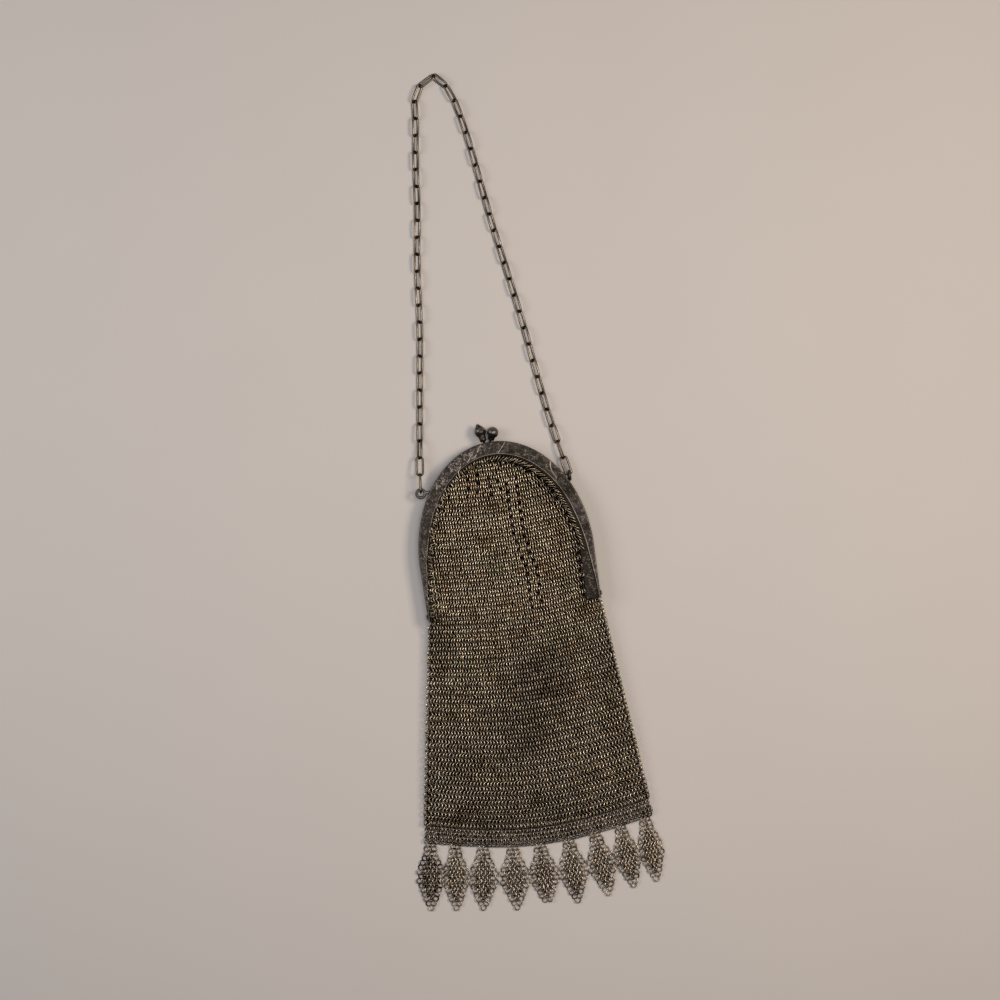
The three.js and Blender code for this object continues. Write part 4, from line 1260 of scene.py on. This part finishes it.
class PURSE_OT_bag(bpy.types.Operator):
    """Links the rings of the bag, front and back, and the rings that hold it to the frame"""

    bl_idname = "purse.bag"
    bl_label = "Ring mesh bag"

    def execute(self, context):
        random.seed(23)
        sizes = context.scene.purse_sizes
        metal = nickel_silver_rings(context.scene.purse_colours)
        rings = {is_front: bag_rings(sizes, is_front) for is_front in (True, False)}
        for name, is_front, start, end in BAG_PIECES:
            places = [place for place, down in rings[is_front] if start <= down < end]
            if is_front:
                ring = wire_ring(sizes.ring_radius, sizes.ring_wire, 12, 4)
            else:
                ring = wire_ring(sizes.ring_radius * 1.04, sizes.ring_wire * 1.35, 7, 3)
            finish_piece(name, repeated(ring, places), metal, ["mesh_bag"])
        for is_front, word in ((True, "front"), (False, "back")):
            ring = wire_ring(sizes.ring_radius * 1.15, sizes.ring_wire * 1.1, 14, 4)
            finish_piece(f"{word}_frame_rings", repeated(ring, frame_rings(sizes, is_front)), metal)
        return {"FINISHED"}


class PURSE_OT_fringe(bpy.types.Operator):
    """Links the rings of the fringe: its band and nine diamonds"""

    bl_idname = "purse.fringe"
    bl_label = "Diamond fringe"

    def execute(self, context):
        random.seed(37)
        sizes = context.scene.purse_sizes
        metal = fringe_rings(context.scene.purse_colours)
        for is_front, word in ((True, "front"), (False, "back")):
            ring = wire_ring(sizes.fringe_radius, sizes.fringe_wire * 0.85, 12 if is_front else 9,
                             4 if is_front else 3, rubbed=0.35)
            band = repeated(ring, band_places(sizes, is_front))
            finish_piece(f"fringe_band_{word}", band, metal, ["diamond_fringe"])
            ring = wire_ring(sizes.fringe_radius, sizes.fringe_wire, 14 if is_front else 9,
                             5 if is_front else 3, rubbed=0.42)
            places = []
            for number in range(len(DIAMONDS)):
                places += diamond_places(sizes, number, is_front)
            finish_piece(f"fringe_diamonds_{word}", repeated(ring, places), metal, ["diamond_fringe"])
        return {"FINISHED"}


def softbox(name, at, width, power, colour):
    """A large soft lamp that faces the purse."""
    lamp = bpy.data.lights.new(name, "AREA")
    lamp.shape = "SQUARE"
    lamp.size = width
    lamp.energy = power
    lamp.color = colour
    holder = bpy.data.objects.new(name, lamp)
    holder.location = at
    holder.rotation_euler = Vector(at).to_track_quat("Z", "Y").to_euler()
    bpy.context.scene.collection.objects.link(holder)


class PURSE_OT_stage(bpy.types.Operator):
    """Lays the pale board, hangs the soft lamps and sets the camera straight above"""

    bl_idname = "purse.stage"
    bl_label = "Stage"

    def execute(self, context):
        scene = context.scene
        bm = bmesh.new()
        bmesh.ops.create_grid(bm, x_segments=1, y_segments=1, size=1.5)
        mesh = bpy.data.meshes.new("board")
        bm.to_mesh(mesh)
        bm.free()
        board = bpy.data.objects.new("board", mesh)
        scene.collection.objects.link(board)
        board.location.z = -0.02 * MM
        paint = bpy.data.materials.new("matt_painted_board")
        paint.use_nodes = True
        tree = paint.node_tree
        shader = tree.nodes["Principled BSDF"]
        place = add(tree, "ShaderNodeTexCoord").outputs["Object"]
        mottle = add(tree, "ShaderNodeTexNoise", {
            "Vector": place, "Scale": 1 / (60 * MM), "Detail": 2.0}).outputs["Fac"]
        floor = scene.purse_colours.floor
        shade = add(tree, "ShaderNodeMix", {"Factor": mottle, "A": (*[c * 0.97 for c in floor], 1),
                                            "B": (*floor, 1)}, data_type="RGBA").outputs["Result"]
        tree.links.new(shade, shader.inputs["Base Color"])
        shader.inputs["Roughness"].default_value = 0.85
        mesh.materials.append(paint)

        world = bpy.data.worlds.new("room")
        world.use_nodes = True
        world.node_tree.nodes["Background"].inputs["Color"].default_value = (0.93, 0.94, 1.0, 1)
        world.node_tree.nodes["Background"].inputs["Strength"].default_value = 0.11
        scene.world = world
        softbox("warm_lamp", (0.55, 0.16, 0.80), 0.30, 5.2, (1.0, 0.83, 0.66))
        softbox("cool_window", (-0.70, 0.14, 0.62), 0.50, 3.0, (0.94, 0.955, 1.0))
        softbox("overhead_lamp", (0.04, 0.02, 0.85), 0.36, 2.65, (0.98, 0.97, 0.99))
        scene.view_settings.view_transform = "Standard"

        camera = bpy.data.cameras.new("camera")
        camera.lens = 85
        camera.sensor_width = 36
        holder = bpy.data.objects.new("camera", camera)
        holder.location = (-19.1 * MM, -4.16 * MM, 4 * MM + 520 * MM * camera.lens / camera.sensor_width)
        scene.collection.objects.link(holder)
        scene.camera = holder
        return {"FINISHED"}


class PURSE_PT_panel(bpy.types.Panel):
    """Sizes, colours and makers of the purse's pieces"""

    bl_idname = "PURSE_PT_panel"
    bl_label = "Metal mesh purse"
    bl_space_type = "VIEW_3D"
    bl_region_type = "UI"
    bl_category = "Purse"

    def draw(self, context):
        for group in (context.scene.purse_sizes, context.scene.purse_colours):
            box = self.layout.box()
            for name in group.__annotations__:
                box.prop(group, name)
        for maker in MAKERS:
            self.layout.operator(maker.bl_idname)


MAKERS = (PURSE_OT_stage, PURSE_OT_frame_halves, PURSE_OT_rivets, PURSE_OT_clasp, PURSE_OT_chain,
          PURSE_OT_bag, PURSE_OT_fringe)
CLASSES = (PurseSizes, PurseColours, *MAKERS, PURSE_PT_panel)


def register():
    for kind in CLASSES:
        bpy.utils.register_class(kind)
    bpy.types.Scene.purse_sizes = PointerProperty(type=PurseSizes)
    bpy.types.Scene.purse_colours = PointerProperty(type=PurseColours)


def unregister():
    del bpy.types.Scene.purse_colours
    del bpy.types.Scene.purse_sizes
    for kind in reversed(CLASSES):
        bpy.utils.unregister_class(kind)


def main():
    register()
    bpy.ops.purse.stage()
    bpy.ops.purse.frame_halves()
    bpy.ops.purse.rivets()
    bpy.ops.purse.clasp()
    bpy.ops.purse.chain()
    bpy.ops.purse.bag()
    bpy.ops.purse.fringe()


if __name__ == "__main__":
    main()
